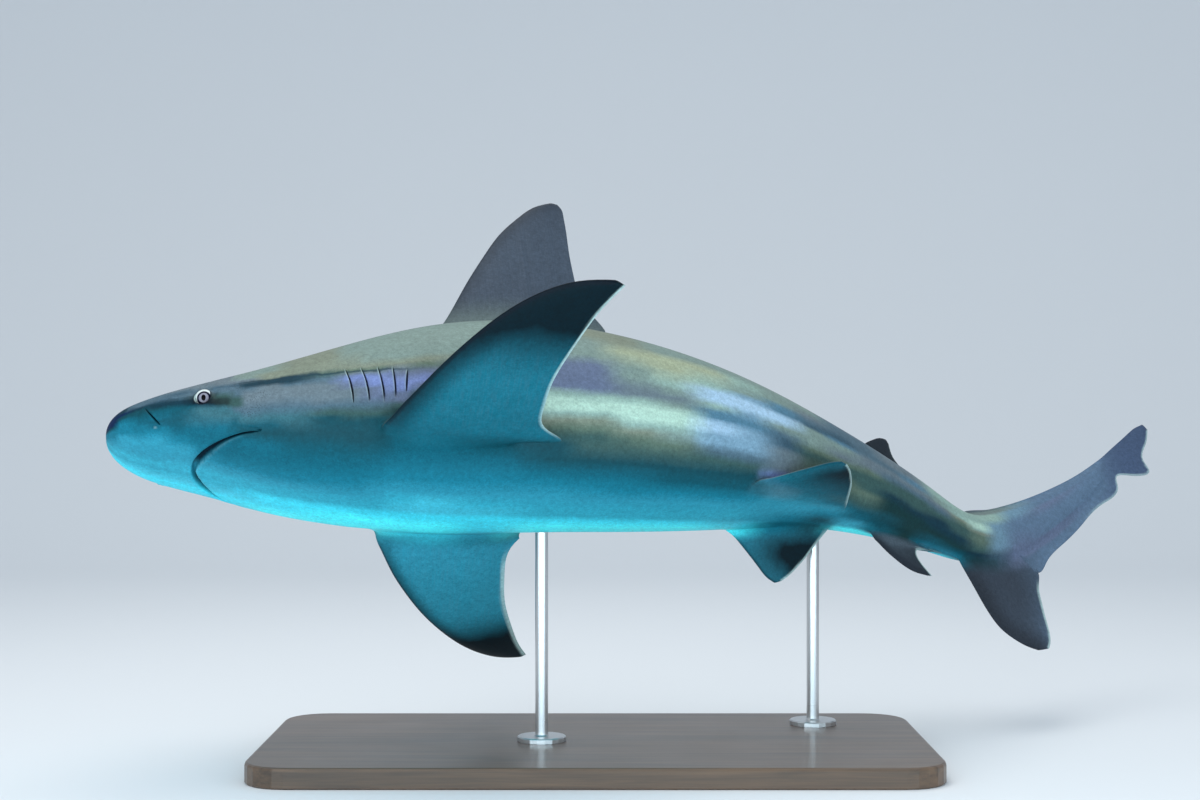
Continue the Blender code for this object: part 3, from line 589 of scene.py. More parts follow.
def to_path(points, path, reach):
    """Distance in metres from points to a path, up to reach, and the nearest index on the path."""
    distance, index = np.full(len(points), reach), np.zeros(len(points), int)
    margin = reach / TOTAL_LENGTH
    low, high = path.min(axis=0) - margin, path.max(axis=0) + margin
    near = np.flatnonzero(np.all((points > low) & (points < high), axis=1))
    for part in np.array_split(near, max(1, len(near) // 4000)):
        gaps = np.linalg.norm(points[part, None] - path[None], axis=2) * TOTAL_LENGTH
        index[part] = gaps.argmin(axis=1)
        distance[part] = np.minimum(gaps.min(axis=1), reach)
    return distance, index


# --- the head's features: each gives lift (metres), painted shade and paleness (mostly painted highlight) at skin points ---
def mouth_path(count=241):
    """The rim of the lower jaw, on the skin."""
    turn = np.linspace(-math.pi / 2, math.pi / 2, count)
    reach = MOUTH_CORNER - MOUTH_FRONT
    at = MOUTH_CORNER - reach * np.abs(np.cos(turn)) ** MOUTH_POWER
    side = MOUTH_HALF * np.sin(turn)
    half, *_, under = section_sizes(at)
    tilt = np.arccos(np.clip((np.abs(side) / half) ** (under / 2), 0, 1))
    return on_skin(at, np.where(side > 0, -tilt, tilt - math.pi))


def inside_jaw(points):
    """Whether points lie on the lower jaw's side of its rim."""
    turn = np.arcsin(np.clip(points[:, 1] / MOUTH_HALF, -1, 1))
    rim = MOUTH_CORNER - (MOUTH_CORNER - MOUTH_FRONT) * np.abs(np.cos(turn)) ** MOUTH_POWER
    return (points[:, 0] > rim) & (np.abs(points[:, 1]) < MOUTH_HALF)


def mouth(points, looks):
    """The open line of the mouth inside its rim, widest towards the front, between rounded lips."""
    path = mouth_path()
    distance, index = to_path(points, path, 0.018)
    t = index / (len(path) - 1)
    ahead = np.where(inside_jaw(points), -distance, distance)
    swell = np.sin(math.pi * np.clip(t, 0.01, 0.99))
    to_end = np.minimum(t, 1 - t)
    ends = smooth(0.0, 0.07, to_end)
    spread = 0.24 + 0.76 * hump(to_end, 0.37, 0.14)
    half = looks.mouth_opening / 2 * spread * (0.35 + 0.65 * ends)
    off = np.abs(ahead + half)
    gap = 1 - smooth(0.62, 1.15, off / half)
    lift = -looks.mouth_depth * gap * (0.45 + 0.55 * swell)
    dip = LIP_DIP * np.exp(-np.clip(off - half, 0, None) / LIP_DIP_WIDTH)
    lift -= dip * (1 - gap) * (0.3 + 0.7 * ends)
    lift += roll(ahead + 2 * half, *LOWER_LIP) * swell
    lift += roll(ahead, *UPPER_LIP) * swell
    # pale is a painted highlight on the lower lip's edge; dark is painted shade in the gap between the lips.
    pale = 0.12 * hump(ahead + 2 * half, -0.0012, 0.0014) * smooth(0.06, 0.3, to_end)
    dark = gap * (0.55 + 0.45 * ends) * (1 - 0.65 * smooth(0.41, 0.48, to_end))
    return lift, dark, pale * (1 - gap)


def furrow(points, path, half, depth):
    """A shallow groove along a path, tapered to both ends."""
    distance, index = to_path(points, path, half * 5)
    taper = np.sin(math.pi * (0.06 + 0.88 * index / (len(path) - 1))) ** 0.6
    groove = np.exp(-((distance / (half * taper)) ** 2)) * (distance < half * 4.9)
    return -depth * groove * taper, groove


def mouth_tail(start, t, hand):
    """The line of the furrow behind the corner of the mouth."""
    return on_skin(start + MOUTH_TAIL * t, section_angle(MOUTH_TAIL_ANGLE + 1.0 * t, hand))


def mouth_corner(points, hand):
    """The short furrow behind the corner of the mouth and the fold over it."""
    t = np.linspace(0, 1, 30)
    behind = mouth_tail(MOUTH_CORNER - 0.0004, t, hand)
    over = on_skin(MOUTH_CORNER - 0.008 + 0.0095 * t, section_angle(-34.0 + 1.6 * t - 1.6 * t**2, hand))
    lift, dark = furrow(points, behind, *CORNER_FURROW)
    lift_over, dark_over = furrow(points, over, *CORNER_FOLD)
    # dark is painted shade in the furrow and under the fold over it.
    return lift + lift_over, np.maximum(dark * 0.34, dark_over * 0.10), 0 * lift


def nostril_path(t, hand):
    """The nostril's slit on one side, from its outer end (t = 0) to its inner one."""
    at, height = spline([0, 0.5, 1], NOSTRIL, t).T
    return on_skin(at, section_angle(height, hand))


def nostril(points, hand, looks):
    """A slanting slit with a small pale flap at its inner end."""
    t = np.linspace(0, 1, 60)
    path = nostril_path(t, hand)
    distance, index = to_path(points, path, 0.012)
    u = index / (len(t) - 1)
    ahead = points[:, 0] < path[index, 0]
    taper = np.clip(np.sin(math.pi * (0.04 + 0.92 * u)), 0, 1) ** 0.6
    half = looks.nostril_width / 2 * taper * (0.65 + 0.45 * u)
    slit = 1 - smooth(0.6, 1.25, distance / half)
    near = distance < 0.0115
    rim = np.where(ahead, NOSTRIL_RIM, NOSTRIL_REAR_RIM) * hump(distance, 0.003, 0.0022)
    lift = -NOSTRIL_DEPTH * slit + near * rim
    tip = on_skin(np.array([FLAP_AT]), section_angle(FLAP_ANGLE, hand))[0]
    bump = hump(np.linalg.norm(points - tip, axis=1) * TOTAL_LENGTH, 0, FLAP_RADIUS)
    # The slit's darkness is painted shade; the raised flap is painted paler.
    return lift + FLAP_HEIGHT * bump, slit * (1 - 0.6 * bump), bump * 0.5


def eye_frame(hand):
    """Middle of the eye on the skin and its backward, upward and outward directions."""
    angle = section_angle(EYE_ANGLE, hand)
    at = np.array([EYE_AT])
    point, out = on_skin(at, angle)[0], skin_out(at, np.array([angle]))[0]
    back = (on_skin(at + 1e-3, angle) - on_skin(at - 1e-3, angle))[0]
    back -= out * (out @ back)
    back /= np.linalg.norm(back)
    up, tilt = np.cross(back, out) * hand, math.radians(EYE_TILT)
    tilted_up = up * math.cos(tilt) + out * math.sin(tilt)
    tilted_out = out * math.cos(tilt) - up * math.sin(tilt)
    return point, back, tilted_up, tilted_out


def lids(points, hand, looks):
    """A round opening with a low rim, into which the skin turns down behind the eyeball."""
    point, back, up, _ = eye_frame(hand)
    local = (points - point) * TOTAL_LENGTH
    near = np.linalg.norm(local, axis=1) < 0.034
    x, y = local @ back, local @ up
    radius = np.hypot(x, 0.93 * y)
    rim = looks.lid_radius
    lift = -LID_DEPTH * (1 - smooth(rim - 0.0016, rim + 0.0001, radius))
    lift += roll(radius - rim, *LID_RIM)
    lift += roll(radius - rim, *LID_HOLLOW) * smooth(-0.01, 0.012, y + 0.4 * x)
    lift -= y * math.tan(math.radians(EYE_TILT)) * (1 - smooth(rim, rim + 0.014, radius))
    # pale is a painted highlight on the rim's upper front; dark is painted shade in a line round the
    # opening, strongest below and behind.
    upper_front = smooth(-0.5, 0.5, (y - x) / np.maximum(radius, 1e-6) / math.sqrt(2))
    pale = hump(radius - rim, 0.0003, 0.0008) * upper_front
    line = radius - rim - 0.0022 + 0.0014 * (1 - upper_front)
    dark = hump(line, 0, 0.0012) * (0.75 - 0.45 * upper_front)
    return lift * near, dark * near, pale * near


def gill_paths(t, hand):
    """The five gill slits of one side, each from its top (t = 0) to its foot."""
    for at, top, foot, lean, bow in zip(GILL_AT, GILL_TOP, GILL_FOOT, GILL_LEAN, GILL_BOW):
        stations = at + lean * (t - 0.5) + bow * np.sin(math.pi * t)
        yield on_skin(stations, section_angle(top + (foot - top) * t, hand))


def gill_slits(points, hand, looks):
    """Five slits, each behind the raised edge of a flap."""
    lift, dark, pale = (np.zeros(len(points)) for _ in range(3))
    t = np.linspace(0, 1, 61)
    for path in gill_paths(t, hand):
        distance, index = to_path(points, path, 0.022)
        u = index / (len(t) - 1)
        behind = np.where(points[:, 0] > path[index, 0], distance, -distance)
        swell = np.clip(np.sin(math.pi * (0.03 + 0.94 * u)), 0, 1)
        half = looks.gill_width / 2 * swell**0.5
        slit = 1 - smooth(0.5, 1.2, distance / half)
        window = swell**0.5 * (distance < 0.0215)
        front = np.exp(-np.clip(-behind - half, 0, None) / 0.0050) * (behind < 0)
        rear = np.exp(-np.clip(behind - half, 0, None) / 0.0045) * (behind > 0)
        lift += window * (looks.gill_flap * front - GILL_SAG * rear) * (1 - slit) - GILL_DEPTH * slit
        # dark is painted shade inside each slit; pale is a painted highlight along each flap's front edge,
        # brightest at its top.
        dark = np.maximum(dark, slit * window)
        edge = hump(behind + half, -0.0007, 0.0007) * (0.35 + 0.65 * (1 - smooth(0.05, 0.30, u)))
        pale = np.maximum(pale, edge * window * (1 - slit))
    return lift, dark, pale


def back_ridge(points):
    """The low ridge between the dorsal fins and the pits before the tail."""
    side, on_back = points[:, 1] * TOTAL_LENGTH, points[:, 2] > 0
    rise = smooth(RIDGE_FROM - 0.02, RIDGE_FROM + 0.02, points[:, 0])
    window = rise * (1 - smooth(RIDGE_TO - 0.012, RIDGE_TO + 0.012, points[:, 0]))
    lift = RIDGE_HEIGHT * hump(side, 0, RIDGE_SPREAD) * window * on_back
    pit = hump(points[:, 0], PIT_AT, PIT_SPREAD) * hump(side, 0, PIT_SIDE_SPREAD)
    lift -= PIT_DEPTH * pit * on_back + LOWER_PIT_DEPTH * pit * ~on_back
    # The pits are darkened on the back with painted shade.
    return lift, 0.4 * pit * on_back, 0 * lift


def features(points, looks):
    """All the skin's small forms together: lift, painted shade and paleness, mostly painted highlight."""
    lift, dark, pale = (np.zeros(len(points)) for _ in range(3))
    parts = [mouth(points, looks), back_ridge(points)]
    for hand in HANDS.values():
        parts += [mouth_corner(points, hand), nostril(points, hand, looks)]
        parts += [lids(points, hand, looks), gill_slits(points, hand, looks)]
    for one_lift, one_dark, one_pale in parts:
        lift += one_lift
        dark, pale = np.maximum(dark, one_dark), np.maximum(pale, one_pale)
    return lift, np.clip(dark, 0, 1), np.clip(pale, 0, 1)


def needs_detail(points, level):
    """Where the mesh is split finer: level 0 round every feature, 1 and 2 closer to their edges."""
    reach = DETAIL_REACH[level]
    near = to_path(points, mouth_path(121), reach * 0.999)[0] < reach * 0.99
    if level == 0:
        along, side, up = points.T
        near |= (np.abs(side) * TOTAL_LENGTH < 0.009) & (up > 0) & (along > 0.37) & (along < 0.74)
    t = np.linspace(0, 1, 31)
    for hand in HANDS.values():
        point, *_ = eye_frame(hand)
        off = np.linalg.norm(points - point, axis=1) * TOTAL_LENGTH
        near |= (off < DETAIL_EYE_TO[level]) & (off > DETAIL_EYE_FROM[level])
        near |= to_path(points, nostril_path(t, hand), 0.02)[0] < reach
        near |= to_path(points, mouth_tail(MOUTH_CORNER, t, hand), 0.02)[0] < reach
        for path in gill_paths(t, hand):
            near |= to_path(points, path, 0.02)[0] < DETAIL_GILLS[level]
    return near


# --- the skin ------------------------------------------------------------------------------------
def body_shell(looks):
    """The whole body, finely meshed round its features and shaped by them."""
    at = body_stations()
    turn = (np.arange(SEGMENTS) + 0.5) / SEGMENTS * math.tau - math.pi / 2
    rings = on_skin(at[:, None], turn[None])
    end = rings[-1].mean(axis=0) + (0.004, 0, 0.003)
    verts, faces = closed_shape(rings, (SNOUT_TIP, 0, 0), end)
    made = shell("shark body", verts, faces)
    shape = bmesh.new()
    shape.from_mesh(made.data)
    for level in range(3):
        points = np.array([v.co for v in shape.verts])
        near = needs_detail(points, level)
        edges = [e for e in shape.edges if near[e.verts[0].index] and near[e.verts[1].index]]
        bmesh.ops.subdivide_edges(shape, edges=edges, cuts=1, use_grid_fill=True)
        shape.verts.index_update()
    shape.to_mesh(made.data)
    shape.free()

    points = places(made.data)
    on_body = (points[:, 0] > 0.012) & (points[:, 0] < 0.76)
    at, angle = points[on_body, 0], skin_angle(points[on_body])
    points[on_body] = on_skin(at, angle)
    lift, dark, pale = features(points[on_body], looks)
    points[on_body] += skin_out(at, angle) * lift[:, None] / TOTAL_LENGTH
    # dark and pale are the features' painted shade and paleness, mostly painted highlight.
    marks = np.zeros((len(points), 2))
    marks[on_body] = np.stack([dark, pale], axis=1)
    made.data.vertices.foreach_set("co", points.ravel())
    return made, points, marks


def marks_on_fin(grid, even, own, is_paired, rounding):
    """The marks of a fin's points, one row for each point.

    They are reach, distance from the front and the rear margin, whether the point is on an underside,
    dusky tip, pale edge and mauve ground, how far the body's colours run out onto the fin, and the
    rounding where the fin joins the body.
    """
    count, size = grid.shape[:2]
    flat = grid[..., :2].reshape(-1, 2)
    dusk_start, dusk_full, dusky, shade, shade_width, *edge_and_ground = own
    pale, pale_width, pale_start, mauve, run_out = edge_and_ground
    reach = np.repeat(np.linspace(0, 1, count), size)
    front, rear = margin_distance(flat, even[:, :2]), margin_distance(flat, even[:, 2:])
    under = np.tile(np.arange(size) < size // 2, count) * is_paired
    tip = dusky * smooth(dusk_start, dusk_full, reach)
    if dusk_start > dusk_full:
        tip *= smooth(0.02, 0.34, reach)
    front_shade = shade * (1 - smooth(0, shade_width, front))
    shaded = 1 - (1 - tip) * (1 - front_shade * smooth(-0.05, 0.40, reach))
    dusk = shaded if shade >= 0 else tip * (1 + front_shade)
    edge = pale * (1 - smooth(0.6, 1.4, rear / pale_width))
    edge *= smooth(pale_start - 0.08, pale_start + 0.04, reach)
    ground = [np.full(len(reach), value) for value in (mauve, run_out, rounding)]
    return np.stack([reach, front, rear, under, dusk, edge, *ground], axis=1)


def fin_shells():
    """Every fin as a closed shell, with the places and the marks of its points."""
    made, points, marks = [], [], []
    jobs = [(name, name, None, 0) for name in FINS if name not in ("pectoral", "pelvic")]
    for side, hand in HANDS.items():
        jobs += [("pectoral", f"pectoral {side}", PECTORAL_SET[side], hand)]
        jobs += [("pelvic", f"pelvic {side}", PELVIC_SET[side], hand)]
    for kind, name, where, hand in jobs:
        *sizes, rounding = FIN_MESH[kind]
        grid, even = fin_grid(FINS[kind], *sizes)
        if where is None:
            straight = grid[..., [0, 2, 1]]
        else:
            straight = paired(grid, where, hand, max(row[1] for row in FINS[kind]))
        made.append(shell(name, *closed_shape(straight)))
        points.append(straight.reshape(-1, 3))
        own = FIN_MARKS.get(name, FIN_MARKS[kind])
        marks.append(marks_on_fin(grid, even, own, where is not None, rounding))
    return made, np.concatenate(points), np.concatenate(marks)


def apply_last(made):
    """Applies the newest modifier of an object."""
    bpy.ops.object.select_all(action="DESELECT")
    made.select_set(True)
    bpy.context.view_layer.objects.active = made
    bpy.ops.object.modifier_apply(modifier=made.modifiers[-1].name)


def settle(points, edges, weight, rounds):
    """Eases points towards the middle of their neighbours, by their weights."""
    moving = np.flatnonzero((weight[edges] > 0).any(axis=1))
    one, two = edges[moving].T
    count = np.bincount(one, minlength=len(points)) + np.bincount(two, minlength=len(points))
    share = (weight / np.maximum(count, 1))[:, None]
    for _ in range(rounds):
        total = [
            np.bincount(one, points[two, k], len(points)) + np.bincount(two, points[one, k], len(points))
            for k in range(3)
        ]
        points = points + 0.6 * (np.stack(total, axis=1) * share - points * (share * count[:, None]))
    return points


def face_tree(mesh, corners):
    """A tree that finds the nearest place on a mesh's faces."""
    return BVHTree.FromPolygons(corners, [tuple(face.vertices) for face in mesh.polygons])


def join_fins(skin, fins):
    """Unites the fins with the body in one closed mesh."""
    group = bpy.data.collections.new("fins to join")
    bpy.context.scene.collection.children.link(group)
    for fin in fins:
        group.objects.link(fin)
    join = skin.modifiers.new("join the fins", "BOOLEAN")
    join.operation, join.solver, join.operand_type, join.collection = "UNION", "EXACT", "COLLECTION", group
    apply_last(skin)
    for fin in fins:
        bpy.data.objects.remove(fin)
    bpy.data.collections.remove(group)
    shape = bmesh.new()
    shape.from_mesh(skin.data)
    bmesh.ops.remove_doubles(shape, verts=shape.verts, dist=1e-5)
    bmesh.ops.triangulate(shape, faces=[f for f in shape.faces if len(f.verts) > 4])
    bmesh.ops.recalc_face_normals(shape, faces=shape.faces)
    shape.to_mesh(skin.data)
    shape.free()


def marks_on_skin(points, body, fins):
    """The marks of the joined skin's points, with the places and the roundings of its seams.

    body and fins each give a tree or trees of their faces, their points and their points' marks. A
    row holds painted shade, paleness that is mostly painted highlight, distance off the body in metres
    and then the marks of a fin's point.
    """
    (body_tree, body_points, body_marks), (fin_trees, fin_points, fin_marks) = body, fins
    nearest_body, nearest_fin = tree_of(body_points), tree_of(fin_points)
    marks = np.zeros((len(points), 11))
    marks[:, 4:6] = 1.0
    seam = []
    for i, place in enumerate(points):
        _, _, _, off = body_tree.find_nearest(place)
        if off < 2e-6:
            _, near, gap = nearest_body.find(place)
            marks[i, :2] = body_marks[near] if gap < 2e-4 else 0
            if any(tree.find_nearest(place, 3e-6)[0] is not None for tree in fin_trees):
                seam.append((place, fin_marks[nearest_fin.find(place)[1], 8]))
        else:
            near = nearest_fin.find(place)[1]
            marks[i, 2] = off * TOTAL_LENGTH
            marks[i, 3:] = fin_marks[near, :8]
            marks[i, 10] = smooth(0, 1, marks[i, 2] / fin_marks[near, 7])
    return marks, seam


def eased_seams(mesh, points, marks, seam):
    """The skin's points with the fins' roots rounded into the body, the widest ones most."""
    weight, wide = np.zeros(len(points)), np.zeros(len(points))
    seam_tree = tree_of([place for place, _ in seam])
    for i, place in enumerate(points):
        _, near, gap = seam_tree.find(place)
        rounding = seam[near][1] / TOTAL_LENGTH
        if gap < rounding:
            weight[i] = 1 - gap / rounding
            wide[i] = rounding * TOTAL_LENGTH > WIDE_SEAM
    weight = smooth(0, 0.8, weight)
    off_body, front, rear = marks[:, 2], marks[:, 4], marks[:, 5]
    inside_edge = smooth(0.001, 0.012, np.minimum(front, rear))
    inside_edge = np.maximum(inside_edge, wide * (1 - smooth(0.003, 0.020, off_body)))
    weight *= np.where(off_body > 0, inside_edge, 1)
    edges = np.empty(len(mesh.edges) * 2, int)
    mesh.edges.foreach_get("vertices", edges)
    edges = edges.reshape(-1, 2)
    points = settle(points, edges, weight, SEAM_ROUNDS)
    return settle(points, edges, weight * wide, WIDE_SEAM_ROUNDS)


# The marks that the skin's colours follow: those with a place in a row of marks, and those that are
# worked out from the points themselves.
# dark is painted shade in the features' hollows; pale is their paleness, mostly painted highlight.
SKIN_MARKS = {"dark": 0, "pale": 1, "off_body": 2, "front": 4, "under": 6}
SKIN_MARKS |= {"dusky": 7, "pale_rear": 8, "mauve": 9, "onto_fin": 10}
PLACE_MARKS = ("along", "side", "girth")


def build_skin(looks):
    """One closed skin for the whole animal, posed, with the marks that its colours follow."""
    skin, body_points, body_marks = body_shell(looks)
    fins, fin_points, fin_marks = fin_shells()
    body = (face_tree(skin.data, [tuple(p) for p in body_points]), body_points, body_marks)
    fin_trees = [face_tree(fin.data, [v.co for v in fin.data.vertices]) for fin in fins]
    join_fins(skin, fins)
    points = places(skin.data)
    marks, seam = marks_on_skin(points, body, (fin_trees, fin_points, fin_marks))
    points = eased_seams(skin.data, points, marks, seam)

    girth = np.arcsin(np.clip(np.sin(skin_angle(points)), -1, 1)) / (math.pi / 2)
    values = {name: marks[:, place] for name, place in SKIN_MARKS.items()}
    values |= dict(zip(PLACE_MARKS, (points[:, 0], points[:, 1], girth)))
    for name, numbers in values.items():
        write_mark(skin.data, name, numbers)
    skin.data.vertices.foreach_set("co", posed(points).ravel())
    skin.data.update()
    skin.data.shade_smooth()
    return skin


# --- node helpers --------------------------------------------------------------------------------
def node(tree, kind, sockets=None, **settings):
    """Adds a node. sockets gives values or links for its inputs, by name or number."""
    made = tree.nodes.new(kind)
    for name, value in settings.items():
        setattr(made, name, value)
    for name, value in (sockets or {}).items():
        socket = made.inputs[name]
        if isinstance(value, bpy.types.NodeSocket):
            tree.links.new(value, socket)
        else:
            socket.default_value = value
    return made


def calc(tree, operation, *values, clamp=False):
    """The result of a Math node."""
    made = node(tree, "ShaderNodeMath", dict(enumerate(values)), operation=operation, use_clamp=clamp)
    return made.outputs[0]


def times(tree, first, *others):
    """The product of several values."""
    for other in others:
        first = calc(tree, "MULTIPLY", first, other)
    return first


def swing(tree, value, amount, middle):
    """A value between 0 and 1 turned into a swing of some amount about a middle."""
    return calc(tree, "MULTIPLY_ADD", calc(tree, "SUBTRACT", value, 0.5), amount, middle)


def span(tree, one, two):
    """The length of two values laid at right angles."""
    return calc(tree, "SQRT", calc(tree, "ADD", times(tree, one, one), times(tree, two, two)))


def blend(tree, factor, one, two, mode="MIX"):
    """The result of mixing two colours, each a link or three numbers."""
    one, two = (c if isinstance(c, bpy.types.NodeSocket) else (*c, 1) for c in (one, two))
    sockets = {0: factor, 6: one, 7: two}
    return node(tree, "ShaderNodeMix", sockets, data_type="RGBA", blend_type=mode).outputs[2]


def step(tree, value, start, end, low=0.0, high=1.0):
    """A smooth step of a value from low at start to high at end."""
    sockets = {0: value, 1: start, 2: end, 3: low, 4: high}
    return node(tree, "ShaderNodeMapRange", sockets, interpolation_type="SMOOTHSTEP").outputs[0]


def fade(tree, value, start, end):
    """A smooth step of a value from 1 at start down to 0 at end."""
    return step(tree, value, start, end, 1.0, 0.0)


def mark(tree, name):
    """A mark of the mesh, as a number."""
    return node(tree, "ShaderNodeAttribute", attribute_name=name).outputs["Fac"]


def ramp(tree, value, stops, interpolation="EASE"):
    """A colour that runs through stops of place and colour."""
    made = node(tree, "ShaderNodeValToRGB", {0: value})
    made.color_ramp.interpolation = interpolation
    keys = made.color_ramp.elements
    for place, color in stops[1:-1]:
        keys.new(place)
    for key, (place, color) in zip(keys, stops):
        key.position, key.color = place, (*color, 1)
    return made.outputs[0]


def noise(tree, vector, scale, detail=3.0, rough=0.5, warp=0.0):
    """A noise value between 0 and 1."""
    sockets = {"Vector": vector, "Scale": scale, "Detail": detail, "Roughness": rough, "Distortion": warp}
    return node(tree, "ShaderNodeTexNoise", sockets).outputs[0]


def stretched(tree, vector, scale):
    """A vector scaled along each axis."""
    return node(tree, "ShaderNodeMapping", {"Vector": vector, "Scale": scale}).outputs[0]


def object_place(tree):
    """A point's place in the object, in metres."""
    return node(tree, "ShaderNodeTexCoord").outputs["Object"]


def new_material(name):
    """A new material with its nodes and its shader."""
    made = bpy.data.materials.new(name)
    made.use_nodes = True
    tree = made.node_tree
    return made, tree, tree.nodes["Principled BSDF"]


def uneven_gloss():
    """A group that varies a finish's roughness in soft patches."""
    made = bpy.data.node_groups.new("uneven gloss", "ShaderNodeTree")
    for name, kind, value in (
        ("Place", "NodeSocketVector", None),
        ("Roughness", "NodeSocketFloat", 0.4),
        ("Patches", "NodeSocketFloat", 0.08),
        ("Patch Scale", "NodeSocketFloat", 12.0),
    ):
        socket = made.interface.new_socket(name, in_out="INPUT", socket_type=kind)
        if value is not None:
            socket.default_value = value
    made.interface.new_socket("Roughness", in_out="OUTPUT", socket_type="NodeSocketFloat")
    start, end = made.nodes.new("NodeGroupInput"), made.nodes.new("NodeGroupOutput")
    soft = noise(made, start.outputs["Place"], start.outputs["Patch Scale"], 2.0)
    patches = times(made, calc(made, "SUBTRACT", soft, 0.5), start.outputs["Patches"])
    made.links.new(calc(made, "ADD", start.outputs["Roughness"], patches, clamp=True), end.inputs[0])
    return made


def gloss(tree, group, place, roughness, patches, scale):
    """The roughness that the uneven gloss group gives."""
    sockets = {"Place": place, "Roughness": roughness, "Patches": patches, "Patch Scale": scale}
    made = node(tree, "ShaderNodeGroup", node_tree=group)
    for name, value in sockets.items():
        if isinstance(value, bpy.types.NodeSocket):
            tree.links.new(value, made.inputs[name])
        else:
            made.inputs[name].default_value = value
    return made.outputs[0]


# --- the skin's colours --------------------------------------------------------------------------
# The first colour is painted shade deep in the slits, furrows and pits; the second is the pores' own dark.
CREVICE_SHADE, PORE = (0.001, 0.003, 0.010), (0.02, 0.03, 0.035)  # colours deep in the slits and in the pores


def tones_round(tree, looks, height, row):
    """The skin's tones round the body, from the text of a row of bands."""
    stops = []
    for group in row.split(", "):
        tone, *degrees = group.split()
        stops += [((float(one) + 90) / 180, getattr(looks, tone)) for one in degrees]
    return ramp(tree, height, stops + [(1.0, stops[-1][1])], "LINEAR")


def bands_color(tree, looks, along, height, bands):
    """Bands of colour that change from the snout to the tail."""
    color = tones_round(tree, looks, height, bands[0][1])
    for (before, _), (after, row) in zip(bands, bands[1:]):
        color = blend(tree, step(tree, along, before, after), color, tones_round(tree, looks, height, row))
    return color


def body_color(tree, looks, along, height, side):
    """The body's bands, with painted light from below on the belly's far side, the back's tone and the line
    over the gills.

    height runs from 0 on the belly to 1 on the back.
    """
    # far is the belly's far side, whose bands paint the light from below.
    far = times(tree, step(tree, side, 0.0, 0.008), fade(tree, along, 0.740, 0.765))
    far = times(tree, far, fade(tree, height, 0.26, 0.34))
    bands = bands_color(tree, looks, along, height, BANDS)
    color = blend(tree, far, bands, bands_color(tree, looks, along, height, FAR_LIT_BANDS))
    back = times(tree, step(tree, height, 0.74, 0.86), step(tree, along, 0.030, 0.080))
    back = times(tree, back, fade(tree, along, 0.780, 0.840))
    color = blend(tree, back, color, looks.back)
    line = calc(tree, "MULTIPLY_ADD", along, GILL_LINE_SLOPE, GILL_LINE_START)
    off = calc(tree, "ABSOLUTE", calc(tree, "SUBTRACT", height, line))
    line = step(tree, off, GILL_LINE_CORE, GILL_LINE_EDGE, GILL_LINE_STRENGTH, 0.0)
    line = times(tree, line, step(tree, along, 0.095, 0.107), fade(tree, along, 0.200, 0.245))
    return blend(tree, line, color, looks.ink)


def fin_color(tree, looks, marks, lie, mottle):
    """Mauve grey median fins, paired ones sea green below, painted lighter on the far side as painted light
    from below, and bronze above, with dusky tips and edges.
    """
    along, mauve, dusky = marks["along"], marks["mauve"], marks["dusky"]
    median = blend(tree, step(tree, along, 0.785, 0.840), looks.mauve, looks.tail)
    median = blend(tree, step(tree, along, 0.900, 0.965), median, looks.tail_dark)
    # The far side's paired undersides are painted lighter: painted light from below. Both undersides' blue
    # greens are partly the water's blue light painted on.
    lower = blend(tree, step(tree, marks["side"], 0.0, 0.010), looks.fin_under, looks.surf)
    fin = blend(tree, mauve, blend(tree, marks["under"], looks.back, lower), median)
    rays = noise(tree, stretched(tree, lie, (90.0, 4.0, 1.0)), 6.0, 3.0, 0.6)
    faint_light = [min(1.0, c * 0.5 + 0.12) for c in looks.violet]
    fin = blend(tree, times(tree, step(tree, rays, 0.35, 0.75), 0.08), fin, faint_light)
    ragged = swing(tree, mottle, 0.30, 1.0)
    dusk = calc(tree, "MULTIPLY", times(tree, dusky, 1.12), ragged, clamp=True)
    fin = blend(tree, dusk, fin, blend(tree, mauve, looks.dusk, looks.plum))
    leading = times(tree, fade(tree, marks["front"], 0.0006, 0.0050), dusky)
    return blend(tree, leading, fin, blend(tree, mauve, looks.black, looks.plum))


def grain_tint(tree, place, grain, mottle):
    """Light and dark grain, speckle and mottle, as one grey to multiply by."""
    speckle = noise(tree, place, 160.0, 3.0, 0.6)
    swings = ((grain, 0.70), (speckle, 0.65), (mottle, 0.24))
    tint = times(tree, *(swing(tree, value, amount, 1.0) for value, amount in swings))
    return node(tree, "ShaderNodeCombineColor", {0: tint, 1: tint, 2: tint}).outputs[0]


def pores_mask(tree, marks, place, mottle):
    """Pores in loose patches, from behind the eye down to the corner of the mouth."""
    along, girth = marks["along"], marks["girth"]
    cells = node(tree, "ShaderNodeTexVoronoi", {"Vector": place, "Scale": 420.0}).outputs["Distance"]
    dots = fade(tree, cells, 0.20, 0.34)
    behind_eye = times(tree, step(tree, along, 0.088, 0.098), fade(tree, along, 0.118, 0.132))
    band = times(tree, step(tree, girth, -0.34, -0.22), fade(tree, girth, 0.10, 0.17))
    patch = times(tree, behind_eye, band, step(tree, mottle, 0.40, 0.60))
    return times(tree, dots, patch, fade(tree, marks["off_body"], 0.0, 0.002))


